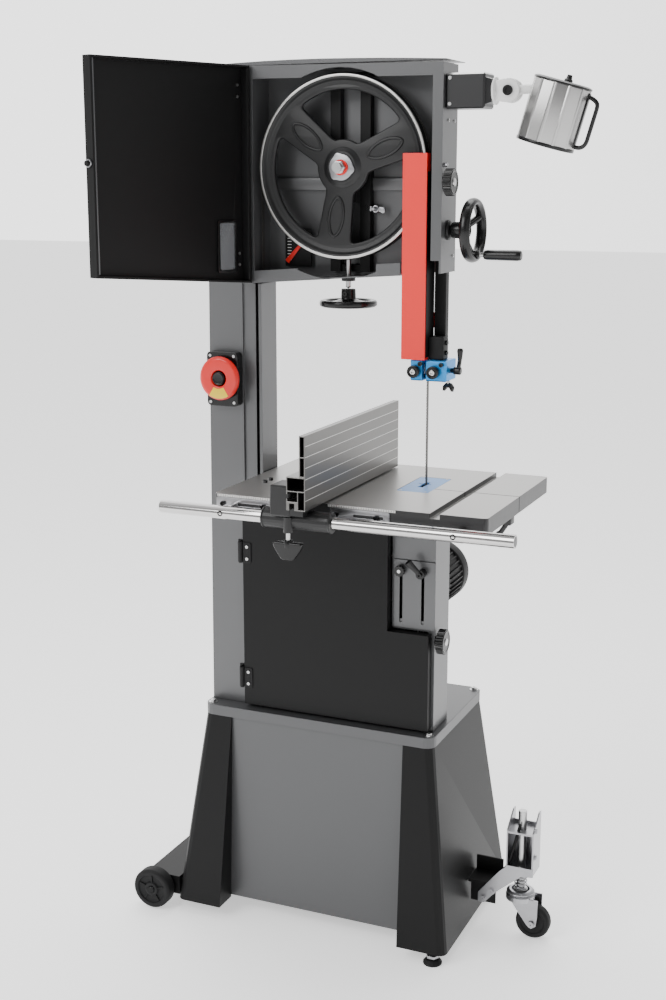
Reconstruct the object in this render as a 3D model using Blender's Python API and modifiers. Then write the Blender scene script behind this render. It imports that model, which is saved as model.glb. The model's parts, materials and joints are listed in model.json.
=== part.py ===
"""Upright two-wheel band saw: welded frame, flared stand, tilting table with rip fence.

Sizes below are millimetres in the saw's working frame: the blade's teeth stand at x = 0, y = 0,
the operator stands at -y, and z is height above the floor. shift() moves that frame so that the
saw stands centred on the origin, and MM turns it into metres.
"""

import math

import bmesh
import bpy
from mathutils import Matrix, Vector

MM = 0.001
GAP = 0.3
FRAME_SHIFT = Vector((154.0, 45.0, 0.0))

# wheels and blade
WHEEL_R = 178.0
WHEEL_X = -WHEEL_R
RIM_FRONT = -12.0
RIM_BACK = 16.0
UPPER_Z = 1608.0
LOWER_Z = 706.0
BLADE_WIDTH = 12.7
BLADE_THICKNESS = 0.9
BLADE_GAP = 0.5
SPOKE_ANGLES = (22.0, 142.0, 262.0)

# welded frame
FRONT = -25.0
BACK = 60.0
SHEET = 3.0
FRAME_RIGHT = 35.0
HINGE_X = -369.0
COLUMN_LEFT_TOP = -464.0
COLUMN_LEFT_FOOT = -474.0
COLUMN_JOIN = -390.0
THROAT_FACE = -350.0
CASE_TOP_LEFT = 1803.0
CASE_TOP_RIGHT = 1799.0
CASE_FOOT_LEFT = 1380.0
CASE_FOOT_RIGHT = 1409.0
FOOT_DIP_R = 215.0
CABINET_TOP = 905.0

# stand
STAND_TOP = 477.0
STAND_PLATE = 23.0
STAND_FOOT = 28.0
PLATE_X = (-478.0, 48.0)
PLATE_Y = (-63.0, 267.0)
FLARE = 52.0
POST_TOP_WIDTH = 64.0
POST_FOOT_WIDTH = 106.0
LEFT_FOOT_INSET = 115.0
PANEL_Y = (-57.0, 261.0)

# table, rail and fence
TABLE_TOP = 990.0
TABLE_X = (-347.0, 207.0)
TABLE_Y = (-241.0, 171.0)
TABLE_DEPTH = 32.0
TRUNNION_R = 75.0
TRUNNION_Y = ((-74.0, -56.0), (86.0, 104.0))
RAIL_X = (-439.0, 273.0)
RAIL_Y = -286.0
RAIL_Z = 965.0
RAIL_R = 12.5
FENCE_FACE = -111.0
FENCE_Y = (-333.0, 141.0)
FENCE_TOP = 1133.0

# doors
DOOR_OPEN = math.radians(-107.0)
DOOR_DEPTH = 20.0
DOOR_PIVOT = (HINGE_X, FRONT - 6.0)
LOWER_DOOR_PIN = (COLUMN_JOIN - 1.0, FRONT - DOOR_DEPTH - 3.0)

# blade guides
POST_X = (5.0, 29.0)
POST_Y = (26.0, 46.0)
GUIDE_Z = 1219.0
PINION_R = 10.0
PINION_YZ = (POST_Y[0] - PINION_R - GAP, 1490.0)

# lamp
MOTOR_R = 62.0
LAMP_PIVOT = (152.0, 15.0, 1746.0)
LAMP_EAR_R = 22.0
LAMP_TONGUE_R = 19.5
LAMP_CENTRE = (237.0, 15.0, 1704.0)
LAMP_TILT = math.radians(16.0)
LAMP_R = 55.0
LAMP_LENGTH = 120.0

# wheels on the floor
SIDE_WHEEL_R = 45.0
SIDE_WHEEL = (-584.0, 46.5)
SIDE_WHEEL_Y = ((-130.0, -100.0), (304.0, 334.0))
CASTER_STEM = (198.0, 90.0)
CASTER_AXLE = (228.0, 90.0, 39.0)
CASTER_R = 37.0

ROUND = 24


# ---------------------------------------------------------------- scene and materials

def clear_scene():
    """Remove whatever the scene holds, without closing the file that runs this script."""
    for obj in list(bpy.data.objects):
        bpy.data.objects.remove(obj, do_unlink=True)


def new_collection(name):
    """Make a collection linked to the scene."""
    collection = bpy.data.collections.new(name)
    bpy.context.scene.collection.children.link(collection)
    return collection


def material(name, colour, roughness, metallic=0.0):
    """Make a Principled material of one colour."""
    mat = bpy.data.materials.new(name)
    mat.use_nodes = True
    shader = mat.node_tree.nodes["Principled BSDF"]
    shader.inputs["Base Color"].default_value = (*colour, 1.0)
    shader.inputs["Roughness"].default_value = roughness
    shader.inputs["Metallic"].default_value = metallic
    return mat


clear_scene()
SAW = new_collection("band_saw")
GREY = material("grey_paint", (0.17, 0.175, 0.18), 0.4, 0.3)
BLACK = material("black_paint", (0.012, 0.012, 0.013), 0.35)
KNOB = material("black_plastic", (0.01, 0.01, 0.01), 0.3)
CAST = material("black_casting", (0.02, 0.02, 0.021), 0.5)
IRON = material("ground_iron", (0.32, 0.31, 0.3), 0.35, 0.9)
STEEL = material("bright_steel", (0.5, 0.5, 0.5), 0.3, 1.0)
CHROME = material("chrome", (0.75, 0.75, 0.76), 0.12, 1.0)
ALUMINIUM = material("brushed_aluminium", (0.6, 0.59, 0.57), 0.35, 1.0)
ZINC = material("zinc_plate", (0.6, 0.6, 0.62), 0.3, 1.0)
RED = material("red_paint", (0.8, 0.06, 0.045), 0.4)
BLUE = material("blue_anodised", (0.06, 0.22, 0.5), 0.35, 0.5)
INSERT = material("blue_insert", (0.22, 0.4, 0.65), 0.45)
RUBBER = material("rubber", (0.015, 0.015, 0.016), 0.75)
WHITE = material("white_plastic", (0.8, 0.8, 0.8), 0.4)


# ---------------------------------------------------------------- making meshes

def obj_from_bmesh(bm, name):
    """Turn a bmesh into a linked object and free the bmesh."""
    mesh = bpy.data.meshes.new(name)
    bm.to_mesh(mesh)
    bm.free()
    obj = bpy.data.objects.new(name, mesh)
    SAW.objects.link(obj)
    return obj


def freeze(obj):
    """Replace an object's mesh, or curve, with its evaluated mesh and drop the modifiers."""
    name = obj.name
    evaluated = obj.evaluated_get(bpy.context.evaluated_depsgraph_get())
    mesh = bpy.data.meshes.new_from_object(evaluated)
    mesh.transform(obj.matrix_world)
    bpy.data.objects.remove(obj, do_unlink=True)
    bm = bmesh.new()
    bm.from_mesh(mesh)
    bmesh.ops.remove_doubles(bm, verts=bm.verts, dist=1e-6)
    bpy.data.meshes.remove(mesh)
    return obj_from_bmesh(bm, name)


def block(x, y, z, bevel=0.0, segments=2):
    """A box between two x, two y and two z values, with its edges rounded if bevel is given."""
    bm = bmesh.new()
    bmesh.ops.create_cube(bm, size=1.0)
    size = [(b - a) * MM for a, b in (x, y, z)]
    centre = [(a + b) / 2 * MM for a, b in (x, y, z)]
    bmesh.ops.scale(bm, vec=size, verts=bm.verts)
    bmesh.ops.translate(bm, vec=centre, verts=bm.verts)
    if bevel:
        bmesh.ops.bevel(bm, geom=bm.edges[:], offset=bevel * MM, segments=segments,
                        affect="EDGES", profile=0.5)
    return obj_from_bmesh(bm, "block")


def rod(start, end, radius, sides=ROUND, end_radius=None):
    """A cylinder, or a cone, from one point to another."""
    a, b = Vector(start) * MM, Vector(end) * MM
    bm = bmesh.new()
    bmesh.ops.create_cone(bm, cap_ends=True, segments=sides, radius1=radius * MM,
                          radius2=(radius if end_radius is None else end_radius) * MM,
                          depth=(b - a).length)
    turn = (b - a).to_track_quat("Z", "Y").to_matrix().to_4x4()
    bmesh.ops.transform(bm, matrix=Matrix.Translation((a + b) / 2) @ turn, verts=bm.verts)
    return obj_from_bmesh(bm, "rod")


def turned(profile, centre, axis, sides=ROUND, closed=True):
    """An outline of (radius, height) points turned about an axis through centre."""
    bm = bmesh.new()
    ring = [bm.verts.new((r * MM, 0.0, h * MM)) for r, h in profile]
    for first, second in zip(ring, ring[1:]):
        bm.edges.new((first, second))
    if closed:
        bm.edges.new((ring[-1], ring[0]))
    obj = obj_from_bmesh(bm, "turned")
    screw = obj.modifiers.new("turn", "SCREW")
    screw.steps = sides
    screw.render_steps = sides
    screw.use_merge_vertices = True
    screw.merge_threshold = 1e-5
    obj = freeze(obj)
    bm = bmesh.new()
    bm.from_mesh(obj.data)
    bmesh.ops.dissolve_degenerate(bm, edges=bm.edges[:], dist=1e-7)
    bmesh.ops.recalc_face_normals(bm, faces=bm.faces[:])
    turn = Vector(axis).to_track_quat("Z", "Y").to_matrix().to_4x4()
    bmesh.ops.transform(bm, matrix=Matrix.Translation(Vector(centre) * MM) @ turn, verts=bm.verts)
    bpy.data.objects.remove(obj, do_unlink=True)
    return obj_from_bmesh(bm, "turned")


def solid_turned(profile, centre, axis, sides=ROUND):
    """A turned solid whose outline of (radius, height) points starts and ends on the axis."""
    outline = [(0.0, profile[0][1]), *profile, (0.0, profile[-1][1])]
    return turned(outline, centre, axis, sides, closed=False)


def plate(outline, thickness, plane, level, holes=()):
    """A flat outline with holes, given its thickness. level is where its low face lies.

    plane is "XZ" for a plate that faces y, "YZ" for x and "XY" for z.
    """
    curve = bpy.data.curves.new("plate", "CURVE")
    curve.dimensions = "2D"
    curve.fill_mode = "BOTH"
    curve.extrude = thickness / 2 * MM
    for loop in (outline, *holes):
        spline = curve.splines.new("POLY")
        spline.points.add(len(loop) - 1)
        for point, (u, v) in zip(spline.points, loop):
            point.co = (u * MM, v * MM, 0.0, 1.0)
        spline.use_cyclic_u = True
    obj = bpy.data.objects.new("plate", curve)
    SAW.objects.link(obj)
    middle = (level + thickness / 2) * MM
    columns = {"XZ": ((1, 0, 0), (0, 0, 1), (0, middle, 0)),
               "YZ": ((0, 1, 0), (0, 0, 1), (middle, 0, 0)),
               "XY": ((1, 0, 0), (0, 1, 0), (0, 0, middle))}[plane]
    u_axis, v_axis, place = (Vector(c) for c in columns)
    normal = u_axis.cross(v_axis)
    obj.matrix_world = Matrix.Translation(place) @ Matrix((u_axis, v_axis, normal)).transposed().to_4x4()
    bpy.context.view_layer.update()
    return freeze(obj)


def arc(centre, radius, start, end, steps):
    """Points along an arc, angles in degrees."""
    points = []
    for i in range(steps + 1):
        angle = math.radians(start + (end - start) * i / steps)
        points.append((centre[0] + radius * math.cos(angle), centre[1] + radius * math.sin(angle)))
    return points


def oblong(centre, width, height, radius, steps=4):
    """A rectangle outline with round corners."""
    cx, cy = centre
    dx, dy = width / 2 - radius, height / 2 - radius
    return (arc((cx + dx, cy + dy), radius, 0, 90, steps) + arc((cx - dx, cy + dy), radius, 90, 180, steps)
            + arc((cx - dx, cy - dy), radius, 180, 270, steps)
            + arc((cx + dx, cy - dy), radius, 270, 360, steps))


def combine(base, others, operation):
    """Join others to base, or cut them from it, and remove them."""
    for other in others:
        boolean = base.modifiers.new(operation.lower(), "BOOLEAN")
        boolean.operation = operation
        boolean.solver = "EXACT"
        boolean.object = other
    bpy.context.view_layer.update()
    result = freeze(base)
    for other in others:
        bpy.data.objects.remove(other, do_unlink=True)
    return result


def join(base, *others):
    """Union of solids."""
    return combine(base, others, "UNION")


def cut(base, *others):
    """Base with the other solids taken out of it."""
    return combine(base, others, "DIFFERENCE")


def turn_about(obj, point, axis, angle):
    """Turn an object's mesh about a line through point."""
    pivot = Matrix.Translation(Vector(point) * MM)
    obj.data.transform(pivot @ Matrix.Rotation(angle, 4, Vector(axis)) @ pivot.inverted())
    return obj


# ---------------------------------------------------------------- naming and placing pieces

BODIES = {}


def body(name, pivot=(0.0, 0.0, 0.0)):
    """An empty on a moving body's joint axis, which its pieces are parented to."""
    empty = bpy.data.objects.new("body_" + name, None)
    SAW.objects.link(empty)
    empty.location = (Vector(pivot) + FRAME_SHIFT) * MM
    BODIES[name] = (empty, Vector(pivot) * MM)
    return name


def piece(obj, name, mat, body_name=None):
    """Name a solid, give it its material and stand it on its body."""
    obj.name = name
    obj.data.name = name
    obj.data.materials.clear()
    obj.data.materials.append(mat)
    obj.data.shade_smooth()
    obj.data.set_sharp_from_angle(angle=math.radians(35))
    if body_name is None:
        obj.location = FRAME_SHIFT * MM
        return obj
    empty, pivot = BODIES[body_name]
    obj.data.transform(Matrix.Translation(-pivot))
    obj.parent = empty
    return obj


# ---------------------------------------------------------------- stand

def stand_side(sign):
    """One folded side of the stand: front post, side and rear post, flared towards the floor."""
    top_edge = PLATE_X[0] + 2 if sign < 0 else PLATE_X[1] - 2
    foot_edge = top_edge + sign * FLARE
    top_front, top_rear = PLATE_Y[0] + 2, PLATE_Y[1] - 2
    foot_front, foot_rear = top_front - FLARE, top_rear + FLARE
    top_inner = top_edge - sign * POST_TOP_WIDTH
    foot_inner = foot_edge - sign * POST_FOOT_WIDTH
    panel_front, panel_rear = PANEL_Y
    top = [(top_inner, panel_front - GAP), (top_inner, top_front), (top_edge, top_front),
           (top_edge, top_rear), (top_inner, top_rear), (top_inner, panel_rear + GAP)]
    foot = [(foot_inner, panel_front - GAP), (foot_inner, foot_front), (foot_edge, foot_front),
            (foot_edge, foot_rear), (foot_inner, foot_rear), (foot_inner, panel_rear + GAP)]
    top_z, foot_z = STAND_TOP - STAND_PLATE - GAP, STAND_FOOT
    bm = bmesh.new()
    high = [bm.verts.new((x * MM, y * MM, top_z * MM)) for x, y in top]
    low = [bm.verts.new((x * MM, y * MM, foot_z * MM)) for x, y in foot]
    for i in range(len(top) - 1):
        bm.faces.new((high[i], high[i + 1], low[i + 1], low[i]))
    corners = [e for e in bm.edges if {*e.verts} in ({high[2], low[2]}, {high[3], low[3]})]
    bmesh.ops.bevel(bm, geom=corners, offset=16 * MM, segments=3, affect="EDGES", profile=0.5)
    shell = obj_from_bmesh(bm, "stand_side")
    thick = shell.modifiers.new("wall", "SOLIDIFY")
    thick.thickness = 2.5 * MM
    thick.offset = -1.0 if sign < 0 else 1.0
    thick.use_even_offset = True
    shell = freeze(shell)
    bm = bmesh.new()
    bm.from_mesh(shell.data)
    bmesh.ops.recalc_face_normals(bm, faces=bm.faces[:])
    bm.to_mesh(shell.data)
    bm.free()
    x = sorted((foot_edge - sign * 12, foot_inner + sign * 8))
    floor = block(x, (foot_front + 1.2, foot_rear - 1.2), (foot_z + 1, foot_z + 4))
    return join(shell, floor)


def build_stand():
    """Flared stand with its top plate, folded sides, grey panels and levelling feet."""
    centre = ((PLATE_X[0] + PLATE_X[1]) / 2, (PLATE_Y[0] + PLATE_Y[1]) / 2)
    size = (PLATE_X[1] - PLATE_X[0], PLATE_Y[1] - PLATE_Y[0])
    top = plate(oblong(centre, *size, 22), STAND_PLATE, "XY", STAND_TOP - STAND_PLATE)
    hollow = block((PLATE_X[0] + 8, PLATE_X[1] - 8), (PLATE_Y[0] + 8, PLATE_Y[1] - 8),
                   (STAND_TOP - STAND_PLATE - 5, STAND_TOP - 4))
    piece(cut(top, hollow), "stand_top_plate", GREY)
    piece(stand_side(-1), "stand_left_side", BLACK)
    piece(stand_side(1), "stand_right_side", BLACK)
    low = (PLATE_X[0] + 2 - FLARE + POST_FOOT_WIDTH - 5, PLATE_X[1] - 2 + FLARE - POST_FOOT_WIDTH + 5)
    high = (PLATE_X[0] + 2 + POST_TOP_WIDTH - 5, PLATE_X[1] - 2 - POST_TOP_WIDTH + 5)
    top_z = STAND_TOP - STAND_PLATE - GAP
    outline = [(low[0], STAND_FOOT + 5), (low[1], STAND_FOOT + 5), (high[1], top_z), (high[0], top_z)]
    piece(plate(outline, 2.5, "XZ", PANEL_Y[0]), "stand_front_panel", GREY)
    piece(plate(outline, 2.5, "XZ", PANEL_Y[1] - 2.5), "stand_rear_panel", GREY)
    sides = (("left", PLATE_X[0] - FLARE + 34, 20 + LEFT_FOOT_INSET), ("right", PLATE_X[1] + FLARE - 34, 20))
    for side, x, inset in sides:
        for end, y in (("front", PLATE_Y[0] - FLARE + inset), ("rear", PLATE_Y[1] + FLARE - inset)):
            outline = [(9, STAND_FOOT + 0.7), (9, 12), (15, 10), (20, 4), (20, 0)]
            piece(solid_turned(outline, (x, y, 0), (0, 0, 1), 16), f"foot_{side}_{end}", RUBBER)


# ---------------------------------------------------------------- welded frame

def build_column():
    """Box column with the blade channel on its throat side, up to the top of the saw."""
    bottom, step, top = STAND_TOP + GAP, CABINET_TOP + GAP, CASE_TOP_LEFT - 4
    under_case = CASE_FOOT_LEFT - 0.6
    left_box = [(COLUMN_LEFT_FOOT, bottom), (COLUMN_JOIN - GAP, bottom), (COLUMN_JOIN - GAP, under_case),
                (HINGE_X - GAP, under_case), (HINGE_X - GAP, top), (COLUMN_LEFT_TOP, top)]
    shell = plate(left_box, BACK - FRONT - 2, "XZ", FRONT)
    channel = block((COLUMN_JOIN - 6, THROAT_FACE), (FRONT + 5, 50), (step, under_case))
    shell = join(shell, channel)
    t = SHEET
    inner = [(COLUMN_LEFT_FOOT + t, bottom - 5), (COLUMN_JOIN - t, bottom - 5),
             (COLUMN_JOIN - t, under_case + t), (HINGE_X - t, under_case + t),
             (HINGE_X - t, top - t), (COLUMN_LEFT_TOP + t, top - t)]
    core = plate(inner, BACK - FRONT - 2 - 2 * t, "XZ", FRONT + t)
    blade_way = block((COLUMN_JOIN + t, THROAT_FACE - t), (FRONT + 5 + t, 50 - t), (step - 5, under_case + 5))
    slot_x = WHEEL_X - WHEEL_R
    slot = block((slot_x - 7, slot_x - 1), (FRONT - 1, FRONT + 15), (step - 5, under_case + 5))
    piece(cut(shell, core, blade_way, slot), "column", GREY)


def build_upper_case():
    """Tapered case round the upper wheel, with a rolled front lip cleared for the wheel."""
    left, right = HINGE_X, FRAME_RIGHT
    outline = [(left, CASE_FOOT_LEFT), (right, CASE_FOOT_RIGHT), (right, CASE_TOP_RIGHT), (left, CASE_TOP_LEFT)]
    shell = plate(outline, BACK - FRONT, "XZ", FRONT)
    t = SHEET
    inner = [(left + t, CASE_FOOT_LEFT + t), (right - t, CASE_FOOT_RIGHT + t),
             (right - t, CASE_TOP_RIGHT - t), (left + t, CASE_TOP_LEFT - t)]
    core = plate(inner, BACK - FRONT - 2 * t, "XZ", FRONT + t)
    window = [(left + 7, CASE_FOOT_LEFT + 25), (right - 21, CASE_FOOT_RIGHT + 23),
              (right - 21, CASE_TOP_RIGHT - 24), (left + 7, CASE_TOP_LEFT - 25)]
    mouth = plate(window, t + 4, "XZ", FRONT - 2)
    wheel_way = rod((WHEEL_X, FRONT - 2, UPPER_Z), (WHEEL_X, FRONT + t + 2, UPPER_Z), WHEEL_R + 9, 48)
    dip = arc((WHEEL_X - 4, CASE_FOOT_LEFT + 12 + FOOT_DIP_R), FOOT_DIP_R, 247, 293, 20)
    above = CASE_FOOT_LEFT + 45
    screw_view = plate(dip + [(dip[-1][0], above), (dip[0][0], above)], t + 4, "XZ", FRONT - 2)
    foot = (CASE_FOOT_LEFT - 5, CASE_FOOT_RIGHT + 24)
    guide_way = block((-48, right - t - 1), (FRONT - 2, POST_Y[1] + 4), foot)
    blade_way = block((WHEEL_X - WHEEL_R - 8, WHEEL_X - WHEEL_R + 10), (-6, BLADE_WIDTH + 8),
                      (CASE_FOOT_LEFT - 5, CASE_FOOT_LEFT + 12))
    screw_way = rod((-180, 32, CASE_FOOT_LEFT), (-180, 32, CASE_FOOT_RIGHT + 6), 8.5, 16)
    y, z = PINION_YZ
    shaft_way = rod((right - t - 2, y, z), (right + 2, y, z), 8, 16)
    shell = cut(shell, core, mouth, wheel_way, screw_view, guide_way, blade_way, screw_way, shaft_way)
    piece(shell, "upper_case", GREY)
    crown = 7.0
    span = FRAME_RIGHT + 5 - COLUMN_LEFT_TOP
    under, over = [], []
    for i in range(9):
        x = COLUMN_LEFT_TOP + span * i / 8
        slope = CASE_TOP_LEFT + (CASE_TOP_RIGHT - CASE_TOP_LEFT) * max(0.0, (x - left) / (right - left))
        under.append((x, CASE_TOP_LEFT + GAP))
        over.append((x, max(slope, CASE_TOP_LEFT - 2) + 3.5 + crown * math.sin(math.pi * i / 8)))
    piece(plate(under + over[::-1], 110, "XZ", FRONT + 1), "case_top_cover", GREY)


def build_lower_case():
    """Cabinet round the lower wheel; its corner under the table is closed by the sliding cover."""
    left, right, bottom, top = COLUMN_JOIN, FRAME_RIGHT, STAND_TOP + GAP, CABINET_TOP
    t = SHEET
    shell = block((left, right), (FRONT, BACK), (bottom, top))
    core = block((left + t, right - t), (FRONT + t, BACK - t), (bottom + t, top - t))
    mouth = plate([(left + 8, bottom + 8), (right - 14, bottom + 8), (right - 14, 690), (-58, 690),
                   (-58, top - 18), (left + 8, top - 18)], t + 4, "XZ", FRONT - 2)
    access = block((-46, 26), (FRONT - 2, FRONT + t + 2), (712, 822))
    channel_way = block((left + t, THROAT_FACE - t), (FRONT + 5 + t, 50 - t), (top - t - 2, top + 2))
    blade_way = block((-12, 12), (-14, 26), (top - t - 2, top + 2))
    axle_way = rod((WHEEL_X, BACK - t - 2, LOWER_Z), (WHEEL_X, BACK + 2, LOWER_Z), 14, 16)
    motor_way = rod((-40, BACK - t - 2, 757), (-40, BACK + 2, 757), 14, 16)
    dust_way = rod((-300, BACK - t - 2, 545), (-300, BACK + 2, 545), 46, ROUND)
    shell = cut(shell, core, mouth, access, channel_way, blade_way, axle_way, motor_way, dust_way)
    dust_port = turned([(50, 45), (50, 6), (60, 4), (60, -1), (47, -1), (47, 45)], (-300, BACK, 545), (0, 1, 0))
    piece(join(shell, dust_port), "lower_case", GREY)


# ---------------------------------------------------------------- doors

def door_pan(outline, inner_outline, z_holes=()):
    """A shallow door pan: face sheet and a returned edge all round, open towards the frame."""
    pan = plate(outline, DOOR_DEPTH, "XZ", FRONT - DOOR_DEPTH - 1, z_holes)
    hollow = plate(inner_outline, DOOR_DEPTH, "XZ", FRONT - DOOR_DEPTH + 1)
    return cut(pan, hollow)


def build_doors():
    """Upper door, standing open, and lower door, shut, each hinged on its left edge."""
    left, right = HINGE_X, FRAME_RIGHT
    rim = 4.0
    outline = [(left, CASE_FOOT_LEFT + 1), (right, CASE_FOOT_RIGHT + 1),
               (right, CASE_TOP_RIGHT), (left, CASE_TOP_LEFT)]
    inner = [(left + rim, CASE_FOOT_LEFT + rim + 1), (right - rim, CASE_FOOT_RIGHT + rim + 1),
             (right - rim, CASE_TOP_RIGHT - rim), (left + rim, CASE_TOP_LEFT - rim)]
    sight = oblong((-316, 1455), 44, 92, 6, 3)
    upper = door_pan(outline, inner, (sight,))
    stud = rod((right - 2, FRONT - 11, 1613), (right + 9, FRONT - 11, 1613), 5, 12)
    upper = join(upper, stud)
    pivot = (*DOOR_PIVOT, 0)
    turn_about(upper, pivot, (0, 0, 1), DOOR_OPEN)
    body("upper_door", pivot)
    piece(upper, "upper_door", BLACK, "upper_door")

    bottom, top, notch = STAND_TOP + 7, CABINET_TOP - 12, 688.0
    lower = door_pan([(COLUMN_JOIN + 3, bottom), (29, bottom), (29, notch), (-60, notch), (-60, top),
                      (COLUMN_JOIN + 3, top)],
                     [(COLUMN_JOIN + 3 + rim, bottom + rim), (29 - rim, bottom + rim), (29 - rim, notch - rim),
                      (-60 - rim, notch - rim), (-60 - rim, top - rim), (COLUMN_JOIN + 3 + rim, top - rim)])
    body("lower_door", (*LOWER_DOOR_PIN, 0))
    piece(lower, "lower_door", BLACK, "lower_door")

    for name, z in (("upper_latch_knob", 1580.0), ("lower_latch_knob", 672.0)):
        centre = (FRAME_RIGHT + GAP, FRONT + 6, z)
        body(name, centre)
        outline = [(26, 24), (26, 6), (20, 4), (8, 3), (8, 0)]
        piece(solid_turned(outline, centre, (1, 0, 0), 20), name, KNOB, name)


# ---------------------------------------------------------------- wheels, tension and drive

def spoked_wheel(z):
    """A band wheel: rim, hub and a web with three windows that leave three spokes."""
    centre = (WHEEL_X, 0, z)
    r = WHEEL_R
    rim = turned([(r, -RIM_FRONT), (r, -RIM_BACK), (r - 12, -RIM_BACK), (r - 14, 0), (r - 12, -RIM_FRONT)],
                 centre, (0, -1, 0), 48)
    hub = solid_turned([(34, 10), (34, -18)], centre, (0, -1, 0), ROUND)
    windows = []
    for angle in SPOKE_ANGLES:
        middle = angle + 60
        windows.append(arc((WHEEL_X, z), r - 34, middle - 41, middle + 41, 10)
                       + arc((WHEEL_X, z), 62, middle + 24, middle - 24, 4))
    web = plate(arc((WHEEL_X, z), r - 13, 0, 352.5, 47), 10, "XZ", -4, windows)
    return join(rim, web, hub)


def build_upper_wheel():
    """Tension bracket, sliding carriage, tilting axle, upper wheel and tension handwheel."""
    bars = [block((x, x + 22), (38, BACK - SHEET - GAP), (1404, 1790)) for x in (-222, -158)]
    ties = [block((-222, -136), (44, BACK - SHEET - GAP), z) for z in ((1404, 1418), (1776, 1790))]
    piece(join(*bars, *ties), "tension_bracket", BLACK)

    body("wheel_carriage", (-180, 32, 1550))
    block_body = block((-199.5, -158.5), (40, 56), (1540, 1650))
    nose = block((-193, -167), (25, 45), (1540, 1560))
    bore = rod((-180, 32, 1530), (-180, 32, 1570), 6.6, 16)
    piece(cut(join(block_body, nose), bore), "wheel_carriage", CAST, "wheel_carriage")

    body("upper_axle", (WHEEL_X, 30, UPPER_Z))
    yoke = block((-196, -160), (23, 39.5), (UPPER_Z - 20, UPPER_Z + 20), 3, 1)
    axle = rod((WHEEL_X, 30, UPPER_Z), (WHEEL_X, -36, UPPER_Z), 10, 20)
    piece(join(yoke, axle), "upper_axle", STEEL, "upper_axle")

    body("upper_wheel", (WHEEL_X, 0, UPPER_Z))
    bore = rod((WHEEL_X, -30, UPPER_Z), (WHEEL_X, 22, UPPER_Z), 10.3, 20)
    piece(cut(spoked_wheel(UPPER_Z), bore), "upper_wheel", CAST, "upper_wheel")

    body("tension_handwheel", (-180, 32, 1341))
    disc = solid_turned([(6, 198), (6, 31), (15, 31), (17, 8), (30, 3), (50, 2), (58, 5), (58.5, -4), (52, -7),
                         (20, -5)], (-180, 32, 1341), (0, 0, 1), 32)
    piece(disc, "tension_handwheel", KNOB, "tension_handwheel")


def build_drive():
    """Lower wheel with its shaft and pulley, motor, motor pulley, belt and shaft housing."""
    body("lower_wheel", (WHEEL_X, 0, LOWER_Z))
    shaft = solid_turned([(12, 30), (12, -14), (20, -14), (20, -22), (80, -22), (80, -46), (12, -46), (12, -104)],
                         (WHEEL_X, 0, LOWER_Z), (0, -1, 0), 32)
    piece(join(spoked_wheel(LOWER_Z), shaft), "lower_wheel", CAST, "lower_wheel")
    housing = turned([(34, 42), (34, 8), (46, 6), (46, 0), (13, 0), (13, 42)],
                     (WHEEL_X, BACK + GAP, LOWER_Z), (0, 1, 0))
    piece(housing, "shaft_housing", CAST)

    motor_x, motor_z = -40, 757
    shell = solid_turned([(58, 158), (MOTOR_R, 150), (MOTOR_R, 40), (56, 6), (20, 0)],
                         (motor_x, BACK + 4, motor_z),
                         (0, 1, 0), 32)
    box = block((motor_x - 88, motor_x - 44), (BACK + 56, BACK + 132), (motor_z - 32, motor_z + 34))
    foot = block((motor_x - 40, motor_x + 40), (BACK + GAP, BACK + 30), (motor_z - 60, motor_z + 60))
    shell = cut(join(shell, foot, box), rod((motor_x, BACK - 1, motor_z), (motor_x, BACK + 24, motor_z), 13, 16))
    piece(shell, "motor", BLACK)
    body("motor_pulley", (motor_x, 34, motor_z))
    pulley = solid_turned([(9, 82), (9, 51), (30, 51), (30, 22), (9, 22)], (motor_x, 0, motor_z), (0, 1, 0), 24)
    piece(pulley, "motor_pulley", CAST, "motor_pulley")

    piece(belt_loop(motor_x, motor_z), "drive_belt", RUBBER)
    piece(blade_loop(), "blade", STEEL)


def belt_loop(motor_x, motor_z):
    """Flat ribbed belt round the lower wheel's pulley and the motor's."""
    big, small, thick = 80 + GAP, 30 + GAP, 5.0
    dx, dz = motor_x - WHEEL_X, motor_z - LOWER_Z
    lean = math.degrees(math.atan2(dz, dx))
    spread = math.degrees(math.acos((big - small) / math.hypot(dx, dz)))
    loops = []
    for extra in (thick, 0.0):
        far = arc((WHEEL_X, LOWER_Z), big + extra, lean + spread, lean + 360 - spread, 24)
        near = arc((motor_x, motor_z), small + extra, lean - spread, lean + spread, 12)
        loops.append(far + near)
    return plate(loops[0], 18, "XZ", 27, (loops[1],))


def blade_loop():
    """Endless band round both wheels, its teeth towards the operator."""
    loops = []
    for r in (WHEEL_R + BLADE_GAP + BLADE_THICKNESS, WHEEL_R + BLADE_GAP):
        over = arc((WHEEL_X, UPPER_Z), r, 0, 180, 32)
        under = arc((WHEEL_X, LOWER_Z), r, 180, 360, 32)
        loops.append(over + under)
    return plate(loops[0], BLADE_WIDTH, "XZ", 0, (loops[1],))


# ---------------------------------------------------------------- blade guides

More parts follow.
